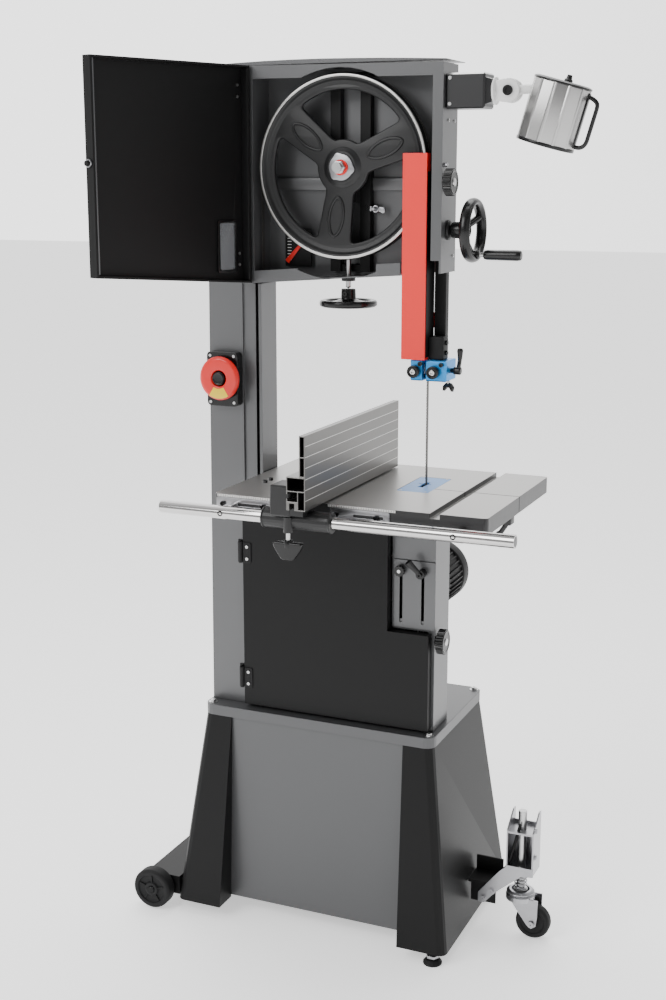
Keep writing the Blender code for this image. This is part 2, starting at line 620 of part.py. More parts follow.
def build_guides():
    """Rising post with the upper guides and blade guard, and the handwheel that lifts it."""
    body("guide_post", (POST_X[0], POST_Y[0], GUIDE_Z))
    post = block(POST_X, POST_Y, (GUIDE_Z + 22, 1652), 1.5, 1)
    piece(post, "guide_post", BLACK, "guide_post")
    guard_z = (GUIDE_Z + 22, 1634)
    face = block((-45, 4), (FRONT + 2, FRONT + 4), guard_z)
    wings = [block((-45, -43), (FRONT + 2, -14), guard_z), block((2, 4), (FRONT + 2, -2), guard_z)]
    arm = block((2.4, POST_X[0] - GAP), (-6, 44), (1300, 1330))
    piece(join(face, *wings, arm), "blade_guard", RED, "guide_post")
    body_block = block((-29, 46), (-14, POST_Y[1]), (GUIDE_Z - 20, GUIDE_Z + 21), 2, 1)
    blade_slot = block((-4, 4), (-20, BLADE_WIDTH + 4), (GUIDE_Z - 30, GUIDE_Z + 30))
    roller_way = block((-24.5, 24.5), (-2, BLADE_WIDTH + 3), (GUIDE_Z - 16, GUIDE_Z + 30))
    piece(cut(body_block, blade_slot, roller_way), "guide_block", BLUE, "guide_post")
    for side, sign in (("left", -1), ("right", 1)):
        centre = (sign * (11 + BLADE_THICKNESS + 0.9), 0.5, GUIDE_Z)
        body("guide_roller_" + side, centre)
        piece(rod(centre, (centre[0], BLADE_WIDTH - 0.5, GUIDE_Z), 11, 20), "guide_roller_" + side, STEEL,
              "guide_roller_" + side)
    pivot = (46 + GAP, 14, GUIDE_Z)
    body("guide_lever", pivot)
    boss = rod(pivot, (62, 14, GUIDE_Z), 7, 16)
    arm = rod((55, 14, GUIDE_Z), (66, 8, GUIDE_Z + 44), 4, 12, 7)
    piece(join(boss, arm), "guide_lever", KNOB, "guide_lever")

    y, z = PINION_YZ
    body("guide_handwheel", (FRAME_RIGHT, y, z))
    pinion = solid_turned([(PINION_R, 7), (PINION_R, 27), (7, 27), (7, 40), (16, 42), (17, 60), (8, 64)], (0, y, z),
                          (1, 0, 0), 20)
    rim = turned([(62, 78), (62, 92), (57, 97), (50, 97), (45, 92), (45, 78), (50, 73), (57, 73)], (0, y, z),
                 (1, 0, 0), 32)
    web = solid_turned([(16, 56), (16, 66), (47, 84), (47, 90), (12, 74)], (0, y, z), (1, 0, 0), 32)
    gaps = []
    for i in range(3):
        gap = block((50, 100), (y - 15, y + 15), (z + 19, z + 42), 5, 1)
        gaps.append(turn_about(gap, (0, y, z), (1, 0, 0), math.radians(60 + 120 * i)))
    pin = rod((92, y, z - 46), (104, y, z - 46), 4.5, 12)
    piece(cut(join(pinion, web, rim, pin), *gaps), "guide_handwheel", KNOB, "guide_handwheel")
    body("crank_handle", (104 + GAP, y, z - 46))
    grip = solid_turned([(7, 0), (9.5, 8), (10.5, 74), (8, 78)], (104 + GAP, y, z - 46), (1, 0, 0), 16)
    piece(grip, "crank_handle", KNOB, "crank_handle")


def build_lower_guide():
    """Lower guide block on the cabinet's top, under the insert."""
    solid = block((-18, 18), (-8, 44), (CABINET_TOP + 4 + 2 * GAP, CABINET_TOP + 16))
    slot = block((-1.6, 1.6), (-12, BLADE_WIDTH + 3), (CABINET_TOP, CABINET_TOP + 20))
    piece(cut(solid, slot), "lower_guide", BLUE)


# ---------------------------------------------------------------- table

def build_table():
    """Ribbed table casting on its trunnions, with insert, front rail and the cradle below."""
    pivot = (0, 0, TABLE_TOP)
    body("table", pivot)
    under = TABLE_TOP - TABLE_DEPTH
    centre = ((TABLE_X[0] + TABLE_X[1]) / 2, (TABLE_Y[0] + TABLE_Y[1]) / 2)
    size = (TABLE_X[1] - TABLE_X[0], TABLE_Y[1] - TABLE_Y[0])
    top = plate(oblong(centre, *size, 8, 3), TABLE_DEPTH, "XY", under)
    edge_x = (TABLE_X[0] + 12, -60.0, 60.0, TABLE_X[1] - 12)
    pockets = []
    for x0, x1 in ((edge_x[0], edge_x[1]), (edge_x[2] + 10, edge_x[3])):
        for y0, y1 in ((TABLE_Y[0] + 12, -50), (-40, TABLE_Y[1] - 12)):
            pockets.append(block((x0, x1), (y0, y1), (under - 5, TABLE_TOP - 14)))
    well = block((-40, 40), (-44, 74), (under - 5, TABLE_TOP - 10))
    insert_seat = plate(oblong((1, -5), 66, 144, 4, 2), 20, "XY", TABLE_TOP - 4)
    insert_hole = block((-26, 28), (-44, 62), (under - 5, TABLE_TOP + 5))
    slit = block((30, TABLE_X[1] + 5), (-38.5, -36.5), (under - 5, TABLE_TOP + 5))
    mitre = block((97, 116), (TABLE_Y[0] - 5, TABLE_Y[1] + 5), (TABLE_TOP - 9.5, TABLE_TOP + 5))
    segments = []
    for y0, y1 in TRUNNION_Y:
        half = math.degrees(math.acos((TABLE_DEPTH - 2) / TRUNNION_R))
        outline = arc((0, TABLE_TOP), TRUNNION_R, 270 - half, 270 + half, 16)
        segments.append(plate(outline, y1 - y0, "XZ", y0))
    top = join(top, *segments)
    piece(cut(top, *pockets, well, insert_seat, insert_hole, slit, mitre), "table", IRON, "table")

    insert = plate(oblong((1, -5), 65.2, 143.2, 4, 2), 3.4, "XY", TABLE_TOP - 3.6)
    cross = [block((-4.2, 6.2), (-30, BLADE_WIDTH + 6), (TABLE_TOP - 8, TABLE_TOP + 5)),
             block((-13, 13), (-1, 3), (TABLE_TOP - 8, TABLE_TOP + 5))]
    piece(cut(insert, *cross), "table_insert", INSERT, "table")

    tube = turned([(RAIL_R, RAIL_X[1]), (RAIL_R, RAIL_X[0]), (RAIL_R - 2.5, RAIL_X[0]),
                   (RAIL_R - 2.5, RAIL_X[1])], (0, RAIL_Y, RAIL_Z), (1, 0, 0), 20)
    spacers = [rod((x, RAIL_Y + RAIL_R - 1.6, RAIL_Z), (x, TABLE_Y[0] - GAP, RAIL_Z), 8, 12)
               for x in (-305, 161)]
    piece(join(tube, *spacers), "front_rail", CHROME, "table")

    seat = block((-68, 24), (TRUNNION_Y[0][0], TRUNNION_Y[1][1]), (CABINET_TOP + GAP, CABINET_TOP + 4))
    horns = [block((-68, 24), y, (CABINET_TOP + 1, TABLE_TOP - TABLE_DEPTH - 9)) for y in TRUNNION_Y]
    arcs = rod((0, TRUNNION_Y[0][0] - 5, TABLE_TOP), (0, TRUNNION_Y[1][1] + 5, TABLE_TOP), TRUNNION_R + 1, 96)
    blade_way = block((-24, 30), (-20, 50), (CABINET_TOP - 1, CABINET_TOP + 6))
    clear = turn_about(block((-400, 400), (-200, 200), (TABLE_TOP - TABLE_DEPTH - 1.5, TABLE_TOP + 60)),
                       pivot, (0, 1, 0), math.radians(46))
    piece(cut(join(seat, *horns), arcs, blade_way, clear), "trunnion_cradle", CAST)


# ---------------------------------------------------------------- fence

def build_fence():
    """Extruded fence on a casting that slides along the front rail, with its lock knob."""
    body("fence", (FENCE_FACE, RAIL_Y, RAIL_Z))
    x1, x0, low, waist, high = FENCE_FACE, FENCE_FACE - 38, TABLE_TOP + 3, TABLE_TOP + 66, FENCE_TOP
    wall = x1 - 12
    outline = [(x0, low), (x1, low), (x1, high), (wall, high), (wall, waist), (x0, waist)]
    w = 2.2
    holes = [
        [(wall + w, waist + w), (x1 - w, waist + w), (x1 - w, 1092), (wall + w, 1092)],
        [(wall + w, 1092 + w), (x1 - w, 1092 + w), (x1 - w, high - w), (wall + w, high - w)],
        [(x0 + w, low + 37), (x1 - w, low + 37), (x1 - w, waist - w), (x0 + w, waist - w)],
        [(wall - 2, low + w), (x1 - w, low + w), (x1 - w, low + 35), (wall - 2, low + 35)],
        [(x0 + w, low + 17), (wall - 4, low + 17), (wall - 4, low + 35), (x0 + w, low + 35)],
    ]
    profile = plate(outline, FENCE_Y[1] - FENCE_Y[0], "XZ", FENCE_Y[0], holes)
    side_slot = block((x0 - 2, x0 + w + 1), (FENCE_Y[0] - 1, FENCE_Y[1] + 1), (low + 22, low + 30))
    foot_slot = block((x0 + 6, wall - 10), (FENCE_Y[0] - 1, FENCE_Y[1] + 1), (low - 2, low + w + 11))
    piece(cut(profile, side_slot, foot_slot), "fence_profile", ALUMINIUM, "fence")

    sleeve = turned([(19, 0), (19, -141), (RAIL_R + GAP, -141), (RAIL_R + GAP, 0)], (-76, RAIL_Y, RAIL_Z),
                    (1, 0, 0), 20)
    upright = block((-192, x0 - GAP), (-316, -262), (RAIL_Z + 10, TABLE_TOP + 44), 3, 1)
    shelf = block((-190, -124), (-314, -264), (RAIL_Z + 13, low - GAP))
    boss = rod((-160, -302, RAIL_Z + 8), (-160, -302, RAIL_Z - 22), 9, 16)
    way = rod((-230, RAIL_Y, RAIL_Z), (-60, RAIL_Y, RAIL_Z), RAIL_R + GAP, 20)
    stem_way = rod((-160, -302, RAIL_Z - 30), (-160, -302, RAIL_Z - 13), 4.5, 12)
    spacer_way = block((-230, -60), (RAIL_Y + 8, RAIL_Y + 40), (RAIL_Z - 9, RAIL_Z + 9))
    piece(cut(join(sleeve, upright, shelf, boss), way, stem_way, spacer_way), "fence_carrier", CAST, "fence")

    top = RAIL_Z - 14
    body("fence_knob", (-160, -302, top))
    stem = rod((-160, -302, top), (-160, -302, top - 28), 4.2, 12)
    fan = plate([(-190, top - 26), (-130, top - 26), (-133, top - 34), (-148, top - 62), (-172, top - 62),
                 (-187, top - 34)], 14, "XZ", -309)
    piece(join(stem, fan), "fence_knob", KNOB, "fence_knob")


# ---------------------------------------------------------------- sliding cover, switch and lamp

def build_cover():
    """Slotted cover that slides up over the lower guides, and its clamp lever."""
    body("blade_cover", (-9, FRONT, 694))
    slots = [oblong((x, 762), 6, 114, 3, 3) for x in (-38, 9)]
    cover = plate(oblong((-9, 765.5), 90, 143, 2, 1), 2.4, "XZ", FRONT - 2.7, slots)
    piece(cover, "blade_cover", GREY, "blade_cover")
    pivot = (9, FRONT, 814)
    body("cover_lever", pivot)
    stem = rod((9, FRONT - GAP, 814), (9, FRONT - 22, 814), 2.6, 10)
    head = rod((9, FRONT - 3.2, 814), (9, FRONT - 22, 814), 9, 16)
    arm = rod((9, FRONT - 20, 814), (-12, FRONT - 34, 842), 4.5, 12, 7)
    piece(join(head, stem, arm), "cover_lever", KNOB, "cover_lever")


def build_switch():
    """Switch box on the column, its large stop disc and the start button in the middle."""
    centre = (-428, 1184)
    piece(plate(oblong(centre, 70, 112, 8, 3), 22, "XZ", FRONT - GAP - 22), "switch_box", BLACK)
    front = FRONT - GAP - 22
    middle = (centre[0], front - 8, 1187)
    body("stop_disc", middle)
    disc = turned([(45, 4), (40, 9), (15.5, 9), (15.5, 0), (42, 0), (45, 1)], middle, (0, -1, 0), 32)
    piece(disc, "stop_disc", RED, "stop_disc")
    start = (centre[0], front - GAP - 3, 1187)
    body("start_button", start)
    piece(solid_turned([(13, 17), (14, 15), (14, 0)], start, (0, -1, 0), 24), "start_button", KNOB,
          "start_button")


def build_lamp():
    """Work lamp: arm on the case, swivelling fork and tilting head."""
    px, py, pz = LAMP_PIVOT
    outer = block((FRAME_RIGHT + GAP, 112), (-15, 45), (1714, 1779), 3, 1)
    nose = rod((108, py, pz), (122, py, pz), 36, 4, 30)
    turn_about(nose, LAMP_PIVOT, (1, 0, 0), math.radians(45))
    piece(join(outer, nose), "lamp_arm", BLACK)
    body("lamp_fork", (122 + GAP, py, pz))
    base = rod((122 + GAP, py, pz), (129, py, pz), 26, ROUND)
    ears = [join(block((126, px), y, (pz - LAMP_EAR_R, pz + LAMP_EAR_R)),
                 rod((px, y[0], pz), (px, y[1], pz), LAMP_EAR_R, 28))
            for y in ((py - 15, py - 8), (py + 8, py + 15))]
    piece(join(base, *ears), "lamp_fork", WHITE, "lamp_fork")
    body("lamp_head", LAMP_PIVOT)
    tongue = rod((px, py - 7.5, pz), (px, py + 7.5, pz), LAMP_TONGUE_R, 28)
    cx, cy, cz = LAMP_CENTRE
    neck = rod((px + 3, py, pz - 1), (cx - 47.5, cy, cz + 22), 7, 12)
    can = solid_turned([(50, LAMP_LENGTH / 2), (LAMP_R, LAMP_LENGTH / 2 - 5), (LAMP_R, -LAMP_LENGTH / 2)],
                       LAMP_CENTRE, (0, 0, 1), 32)
    hollow = rod((cx, cy, cz - LAMP_LENGTH / 2 - 2), (cx, cy, cz + LAMP_LENGTH / 2 - 8), LAMP_R - 3, 32)
    can = turn_about(cut(can, hollow), LAMP_CENTRE, (0, 1, 0), LAMP_TILT)
    side = Vector((math.cos(LAMP_TILT), 0, -math.sin(LAMP_TILT)))
    along = Vector((math.sin(LAMP_TILT), 0, math.cos(LAMP_TILT)))
    centre = Vector(LAMP_CENTRE)
    route = [(53.4, 44), (66, 40), (74, 32), (74, -36), (66, -46), (53.4, -48)]
    points = [centre + side * a + along * b for a, b in route]
    piece(join(can, neck, tongue, wire(points, 4.0)), "lamp_head", ALUMINIUM, "lamp_head")


def wire(points, radius):
    """A round bar through points, with capped ends."""
    curve = bpy.data.curves.new("wire", "CURVE")
    curve.dimensions = "3D"
    curve.bevel_depth = radius * MM
    curve.bevel_resolution = 2
    curve.use_fill_caps = True
    spline = curve.splines.new("POLY")
    spline.points.add(len(points) - 1)
    for point, place in zip(spline.points, points):
        point.co = (*(place * MM), 1.0)
    obj = bpy.data.objects.new("wire", curve)
    SAW.objects.link(obj)
    bpy.context.view_layer.update()
    return freeze(obj)


# ---------------------------------------------------------------- wheels on the floor

def build_side_wheels():
    """Channel and axle on the stand's left side, with a fixed wheel at each end."""
    x, z = SIDE_WHEEL
    left, right = x - 26, PLATE_X[0] - FLARE - GAP
    back_y = SIDE_WHEEL_Y[1][0] - 3
    front_y = SIDE_WHEEL_Y[0][1] + 3
    channel = block((left, right), (front_y, back_y), (STAND_FOOT + 2, z + 26))
    hollow = block((left + 4, right - 4), (front_y + 4, back_y - 4), (STAND_FOOT, z + 22))
    axle = rod((x, SIDE_WHEEL_Y[0][0] - 2, z), (x, SIDE_WHEEL_Y[1][1] + 2, z), 7, 16)
    piece(join(cut(channel, hollow), axle), "side_wheel_bracket", BLACK)
    for end, (y0, y1) in zip(("front", "rear"), SIDE_WHEEL_Y):
        name = "side_wheel_" + end
        body(name, (x, (y0 + y1) / 2, z))
        r = SIDE_WHEEL_R
        tread = turned([(r - 3, y1), (r, y1 - 4), (r, y0 + 4), (r - 3, y0), (7.3, y0), (7.3, y1)], (x, 0, z),
                       (0, 1, 0), 32)
        piece(tread, name, RUBBER, name)


def build_caster():
    """Lifting caster on the stand's right side: mount, channel, sliding stem, fork and wheel."""
    sx, sy = CASTER_STEM
    front, rear = sy - 28, sy + 28
    shelf = block((88.5, 150), (front + 3 + GAP, rear + 5), (112, 118))
    side = block((95, 150), (front + 3 + GAP, front + 7), (72, 116))
    back = block((90, 150), (rear + 1, rear + 5), (115, 150))
    piece(join(shelf, side, back), "pedal_step", BLACK)
    arm = plate([(157, 150), (171, 163), (171, 168), (231, 168), (231, 150), (205, 147), (150, 100), (126, 72),
                 (112, 72), (112, 94)], 3, "XZ", front)
    web = block((172.3, 229.7), (rear - 3.5, rear - 0.5), (153, 252.5))
    cheek = [(front + 1, 151), (rear, 151), (rear, 279), (rear - 12, 279), (front + 1, 248.5)]
    cheeks = [plate(cheek, 3, "YZ", x) for x in (171.6, 227.4)]
    decks = [block((173, 229), (front + 2, rear - 2), z) for z in ((152, 156), (241, 245))]
    bore = rod((sx, sy, 140), (sx, sy, 280), 9.6, 20)
    piece(cut(join(arm, web, *cheeks, *decks), bore), "caster_channel", ZINC)
    body("caster_stem", (sx, sy, 150))
    stem = solid_turned([(9, 286), (9, 110), (15, 108), (15, 100.5)], (sx, sy, 0), (0, 0, 1), 20)
    piece(stem, "caster_stem", STEEL, "caster_stem")
    body("caster_fork", (sx, sy, 92))
    ax, ay, az = CASTER_AXLE
    crown = solid_turned([(26, 100), (31, 96), (31, 86), (24, 84)], (sx, sy, 0), (0, 0, 1), 28)
    leg = [(sx - 23, 94), (ax + 13, 94), (ax + 13, az + 18), (ax + 10, az - 4), (ax, az - 11), (ax - 10, az - 4)]
    cheeks = [plate(leg, 3, "XZ", y) for y in (sy - 20, sy + 17)]
    pin = rod((ax, ay - 22, az), (ax, ay + 22, az), 5, 12)
    piece(join(crown, *cheeks, pin), "caster_fork", ZINC, "caster_fork")
    body("caster_wheel", CASTER_AXLE)
    r = CASTER_R
    tread = turned([(r - 3, 13), (r, 9), (r, -9), (r - 3, -13), (5.3, -13), (5.3, 13)], CASTER_AXLE, (0, -1, 0), 28)
    piece(tread, "caster_wheel", RUBBER, "caster_wheel")


build_stand()
build_column()
build_upper_case()
build_lower_case()
build_doors()
build_upper_wheel()
build_drive()
build_guides()
build_lower_guide()
build_table()
build_fence()
build_cover()
build_switch()
build_lamp()
build_side_wheels()
build_caster()
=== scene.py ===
"""Looks of the upright band saw: finishes, fasteners, teeth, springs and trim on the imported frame."""

import json
import logging
import math
from dataclasses import dataclass, field
from enum import Enum
from typing import Callable, Iterable, Sequence

import bmesh
import bpy
from mathutils import Matrix, Vector


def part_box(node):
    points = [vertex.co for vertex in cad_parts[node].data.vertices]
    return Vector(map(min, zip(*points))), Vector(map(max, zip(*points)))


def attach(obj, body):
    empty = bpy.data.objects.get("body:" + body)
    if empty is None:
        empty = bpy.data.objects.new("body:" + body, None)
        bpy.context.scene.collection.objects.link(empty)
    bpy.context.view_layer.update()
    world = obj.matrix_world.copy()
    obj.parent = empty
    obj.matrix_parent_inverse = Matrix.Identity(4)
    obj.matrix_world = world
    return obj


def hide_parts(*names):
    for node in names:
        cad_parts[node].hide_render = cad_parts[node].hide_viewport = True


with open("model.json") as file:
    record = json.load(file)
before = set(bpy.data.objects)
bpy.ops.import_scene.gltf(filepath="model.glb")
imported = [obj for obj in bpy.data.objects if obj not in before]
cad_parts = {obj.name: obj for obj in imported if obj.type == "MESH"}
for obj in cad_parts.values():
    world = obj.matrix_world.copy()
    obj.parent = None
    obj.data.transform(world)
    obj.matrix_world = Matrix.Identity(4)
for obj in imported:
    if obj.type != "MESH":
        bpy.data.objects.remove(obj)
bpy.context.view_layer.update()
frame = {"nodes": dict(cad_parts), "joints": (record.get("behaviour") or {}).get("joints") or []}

MM = 0.001
GAP = 0.3 * MM
X = Vector((1.0, 0.0, 0.0))
Y = Vector((0.0, 1.0, 0.0))
Z = Vector((0.0, 0.0, 1.0))
WHITE_LIGHT = (1.0, 1.0, 1.0, 1.0)

logging.basicConfig(level=logging.INFO, format="%(message)s")
log = logging.getLogger("band_saw")

Point = tuple[float, float]
Maker = Callable[[], bpy.types.Material]


# ---------------------------------------------------------------- shader groups

def group_with(name: str, inputs: Iterable[tuple[str, float]], outputs: Iterable[tuple[str, str]]):
    """Start a shader node group.

    Args:
        name: the group's name.
        inputs: each input's name and default number.
        outputs: each output's name and socket type.

    Returns:
        The node tree, its group input node and its group output node.
    """
    tree = bpy.data.node_groups.new(name, "ShaderNodeTree")
    for label, value in inputs:
        socket = tree.interface.new_socket(label, in_out="INPUT", socket_type="NodeSocketFloat")
        socket.default_value = value
    for label, kind in outputs:
        tree.interface.new_socket(label, in_out="OUTPUT", socket_type=kind)
    return tree, tree.nodes.new("NodeGroupInput"), tree.nodes.new("NodeGroupOutput")


def maths(tree: bpy.types.NodeTree, operation: str,
          *terms: bpy.types.NodeSocket | float) -> bpy.types.NodeSocket:
    """Add a math node.

    Args:
        tree: the tree that it goes in.
        operation: what it does.
        terms: the sockets or numbers that it works on.

    Returns:
        Its output socket.
    """
    node = tree.nodes.new("ShaderNodeMath")
    node.operation = operation
    for term, socket in zip(terms, node.inputs):
        if isinstance(term, bpy.types.NodeSocket):
            tree.links.new(term, socket)
        else:
            socket.default_value = term
    return node.outputs[0]


def value_and_bump(tree: bpy.types.NodeTree, given: bpy.types.Node, noise: bpy.types.Node,
                   result: bpy.types.Node) -> bpy.types.Node:
    """Send a value round 1 and a bumped normal out of a group.

    Args:
        tree: the group.
        given: its input node, with Depth and Relief.
        noise: the noise that both come from.
        result: its output node.

    Returns:
        The bump node.
    """
    centred = maths(tree, "SUBTRACT", noise.outputs[0], 0.5)
    value = maths(tree, "MULTIPLY_ADD", centred, given.outputs["Depth"], 1.0)
    bump = tree.nodes.new("ShaderNodeBump")
    tree.links.new(given.outputs["Relief"], bump.inputs["Strength"])
    tree.links.new(noise.outputs[0], bump.inputs["Height"])
    tree.links.new(value, result.inputs["Value"])
    tree.links.new(bump.outputs[0], result.inputs["Normal"])
    return bump


def mottle_group() -> bpy.types.NodeTree:
    """Soft clouding of a painted or cast surface: a value round 1 and a bumped normal."""
    tree, given, result = group_with(
        "mottle",
        [("Scale", 40.0), ("Detail", 3.0), ("Depth", 0.1), ("Relief", 0.1), ("Distance", 0.0002)],
        [("Value", "NodeSocketFloat"), ("Mask", "NodeSocketFloat"), ("Normal", "NodeSocketVector")])
    nodes, links = tree.nodes, tree.links
    place = nodes.new("ShaderNodeTexCoord")
    noise = nodes.new("ShaderNodeTexNoise")
    links.new(place.outputs["Object"], noise.inputs["Vector"])
    links.new(given.outputs["Scale"], noise.inputs["Scale"])
    links.new(given.outputs["Detail"], noise.inputs["Detail"])
    bump = value_and_bump(tree, given, noise, result)
    links.new(given.outputs["Distance"], bump.inputs["Distance"])
    links.new(noise.outputs[0], result.inputs["Mask"])
    return tree


def grain_group() -> bpy.types.NodeTree:
    """Fine lines left by brushing or grinding, drawn out along one axis."""
    tree, given, result = group_with(
        "grain",
        [("Along X", 1.0), ("Along Y", 1.0), ("Along Z", 1.0), ("Scale", 60.0), ("Depth", 0.2),
         ("Relief", 0.1)],
        [("Value", "NodeSocketFloat"), ("Normal", "NodeSocketVector")])
    nodes, links = tree.nodes, tree.links
    place = nodes.new("ShaderNodeTexCoord")
    stretch = nodes.new("ShaderNodeCombineXYZ")
    for label, axis in (("Along X", "X"), ("Along Y", "Y"), ("Along Z", "Z")):
        links.new(given.outputs[label], stretch.inputs[axis])
    scaled = nodes.new("ShaderNodeVectorMath")
    scaled.operation = "MULTIPLY"
    links.new(place.outputs["Object"], scaled.inputs[0])
    links.new(stretch.outputs[0], scaled.inputs[1])
    noise = nodes.new("ShaderNodeTexNoise")
    noise.inputs["Detail"].default_value = 4.0
    links.new(scaled.outputs[0], noise.inputs["Vector"])
    links.new(given.outputs["Scale"], noise.inputs["Scale"])
    bump = value_and_bump(tree, given, noise, result)
    bump.inputs["Distance"].default_value = 0.1 * MM
    return tree


def dust_group() -> bpy.types.NodeTree:
    """Mask of the light dust that settles on faces looking up, broken up by noise."""
    tree, given, result = group_with("settled_dust", [("Amount", 0.2), ("Scale", 25.0)],
                                     [("Mask", "NodeSocketFloat")])
    nodes, links = tree.nodes, tree.links
    shape = nodes.new("ShaderNodeNewGeometry")
    split = nodes.new("ShaderNodeSeparateXYZ")
    links.new(shape.outputs["Normal"], split.inputs[0])
    upward = nodes.new("ShaderNodeMapRange")
    upward.inputs["From Min"].default_value = 0.4
    upward.inputs["From Max"].default_value = 1.0
    links.new(split.outputs["Z"], upward.inputs["Value"])
    place = nodes.new("ShaderNodeTexCoord")
    noise = nodes.new("ShaderNodeTexNoise")
    noise.inputs["Detail"].default_value = 5.0
    links.new(place.outputs["Object"], noise.inputs["Vector"])
    links.new(given.outputs["Scale"], noise.inputs["Scale"])
    broken_up = maths(tree, "MULTIPLY", upward.outputs[0], noise.outputs[0])
    links.new(maths(tree, "MULTIPLY", broken_up, given.outputs["Amount"]), result.inputs["Mask"])
    return tree


MOTTLE = mottle_group()
GRAIN = grain_group()
DUST = dust_group()


# ---------------------------------------------------------------- finishes

@dataclass(frozen=True)
class Finish:
    """A surface finish: its colour, its gloss and how uneven it is.

    Args:
        name: the material's name.
        slot: the record's material slot that it belongs to; not used.
        colour: base colour.
        roughness: roughness of the clean surface.
        metallic: how metallic it is.
        coat: strength of a clear coat.
        scale: scale of the clouding or grain.
        depth: how far the clouding changes the colour.
        relief: strength of the bump.
        distance: height of the bump in metres.
        grain: stretch of brushed lines along x, y and z, or None for clouding.
        dust: how much dust lies on faces looking up.
        specular: how strongly the surface mirrors light at right angles.
        sides: colour of faces that don't look up, or None; then the main colour shows only on faces looking
            up (on the lamp arm that main colour is a painted highlight).
    """

    name: str
    slot: str
    colour: tuple[float, float, float]
    roughness: float
    metallic: float = 0.0
    coat: float = 0.0
    scale: float = 60.0
    depth: float = 0.12
    relief: float = 0.12
    distance: float = 0.0002
    grain: tuple[float, float, float] | None = None
    dust: float = 0.0
    specular: float = 0.5
    sides: tuple[float, float, float] | None = None

    def make(self) -> bpy.types.Material:
        """Build the finish's material, or return it if it is already built."""
        label = self.name + "_finish"
        known = bpy.data.materials.get(label)
        if known:
            return known
        material = bpy.data.materials.new(label)
        material.use_nodes = True
        nodes, links = material.node_tree.nodes, material.node_tree.links
        shader = nodes["Principled BSDF"]
        shader.inputs["Metallic"].default_value = self.metallic
        shader.inputs["Coat Weight"].default_value = self.coat
        shader.inputs["Coat Roughness"].default_value = 0.12
        shader.inputs["Specular IOR Level"].default_value = self.specular
        texture = nodes.new("ShaderNodeGroup")
        if self.grain:
            texture.node_tree = GRAIN
            for label, stretch in zip(("Along X", "Along Y", "Along Z"), self.grain):
                texture.inputs[label].default_value = stretch
        else:
            texture.node_tree = MOTTLE
            texture.inputs["Distance"].default_value = self.distance
        texture.inputs["Scale"].default_value = self.scale
        texture.inputs["Depth"].default_value = self.depth
        texture.inputs["Relief"].default_value = self.relief
        tone = nodes.new("ShaderNodeVectorMath")
        tone.operation = "SCALE"
        tone.inputs[0].default_value = self.colour
        links.new(texture.outputs["Value"], tone.inputs["Scale"])
        colour = tone.outputs[0]
        if self.dust:
            dust = nodes.new("ShaderNodeGroup")
            dust.node_tree = DUST
            dust.inputs["Amount"].default_value = self.dust
            settled = nodes.new("ShaderNodeMix")
            settled.data_type = "RGBA"
            settled.inputs["B"].default_value = (0.42, 0.38, 0.33, 1.0)
            links.new(dust.outputs["Mask"], settled.inputs["Factor"])
            links.new(colour, settled.inputs["A"])
            colour = settled.outputs["Result"]
        if self.sides:
            colour = self.up_colour_and_side_colour(material, colour)
        rough = maths(material.node_tree, "MULTIPLY", texture.outputs["Value"], self.roughness)
        links.new(colour, shader.inputs["Base Color"])
        links.new(rough, shader.inputs["Roughness"])
        links.new(texture.outputs["Normal"], shader.inputs["Normal"])
        return material

    def up_colour_and_side_colour(self, material: bpy.types.Material,
                      colour: bpy.types.NodeSocket) -> bpy.types.NodeSocket:
        """Keep the finish's colour on faces that look up, and give the others the sides colour; on the lamp
        arm the up-facing colour is a painted highlight over its black paint.

        Args:
            material: the material being built.
            colour: the finish's own colour.

        Returns:
            The colour socket after the paint.
        """
        nodes, links = material.node_tree.nodes, material.node_tree.links
        where = nodes.new("ShaderNodeTexCoord")
        split = nodes.new("ShaderNodeSeparateXYZ")
        links.new(where.outputs["Normal"], split.inputs[0])
        up = maths(material.node_tree, "GREATER_THAN", split.outputs["Z"], 0.6)
        metal = maths(material.node_tree, "MULTIPLY", up, self.metallic)
        painted = nodes.new("ShaderNodeMix")
        painted.data_type = "RGBA"
        painted.inputs["A"].default_value = (*self.sides, 1.0)
        links.new(up, painted.inputs["Factor"])
        links.new(colour, painted.inputs["B"])
        links.new(metal, nodes["Principled BSDF"].inputs["Metallic"])
        return painted.outputs["Result"]


@dataclass(frozen=True)
class Glass:
    """Clear plastic for the sight window and the lamp's lens."""

    name: str
    slot: str
    colour: tuple[float, float, float]
    roughness: float
    alpha: float
    glow: float = 0.0

    def make(self) -> bpy.types.Material:
        """Build the clear material, or return it if it is already built."""
        label = self.name + "_finish"
        known = bpy.data.materials.get(label)
        if known:
            return known
        material = bpy.data.materials.new(label)
        material.use_nodes = True
        nodes, links = material.node_tree.nodes, material.node_tree.links
        shader = nodes["Principled BSDF"]
        shader.inputs["Alpha"].default_value = self.alpha
        shader.inputs["Emission Color"].default_value = (1.0, 0.97, 0.9, 1.0)
        shader.inputs["Emission Strength"].default_value = self.glow
        texture = nodes.new("ShaderNodeGroup")
        texture.node_tree = MOTTLE
        texture.inputs["Scale"].default_value = 30.0
        texture.inputs["Depth"].default_value = 0.08
        tone = nodes.new("ShaderNodeVectorMath")
        tone.operation = "SCALE"
        tone.inputs[0].default_value = self.colour
        links.new(texture.outputs["Value"], tone.inputs["Scale"])
        links.new(tone.outputs[0], shader.inputs["Base Color"])
        shader.inputs["Roughness"].default_value = self.roughness
        return material


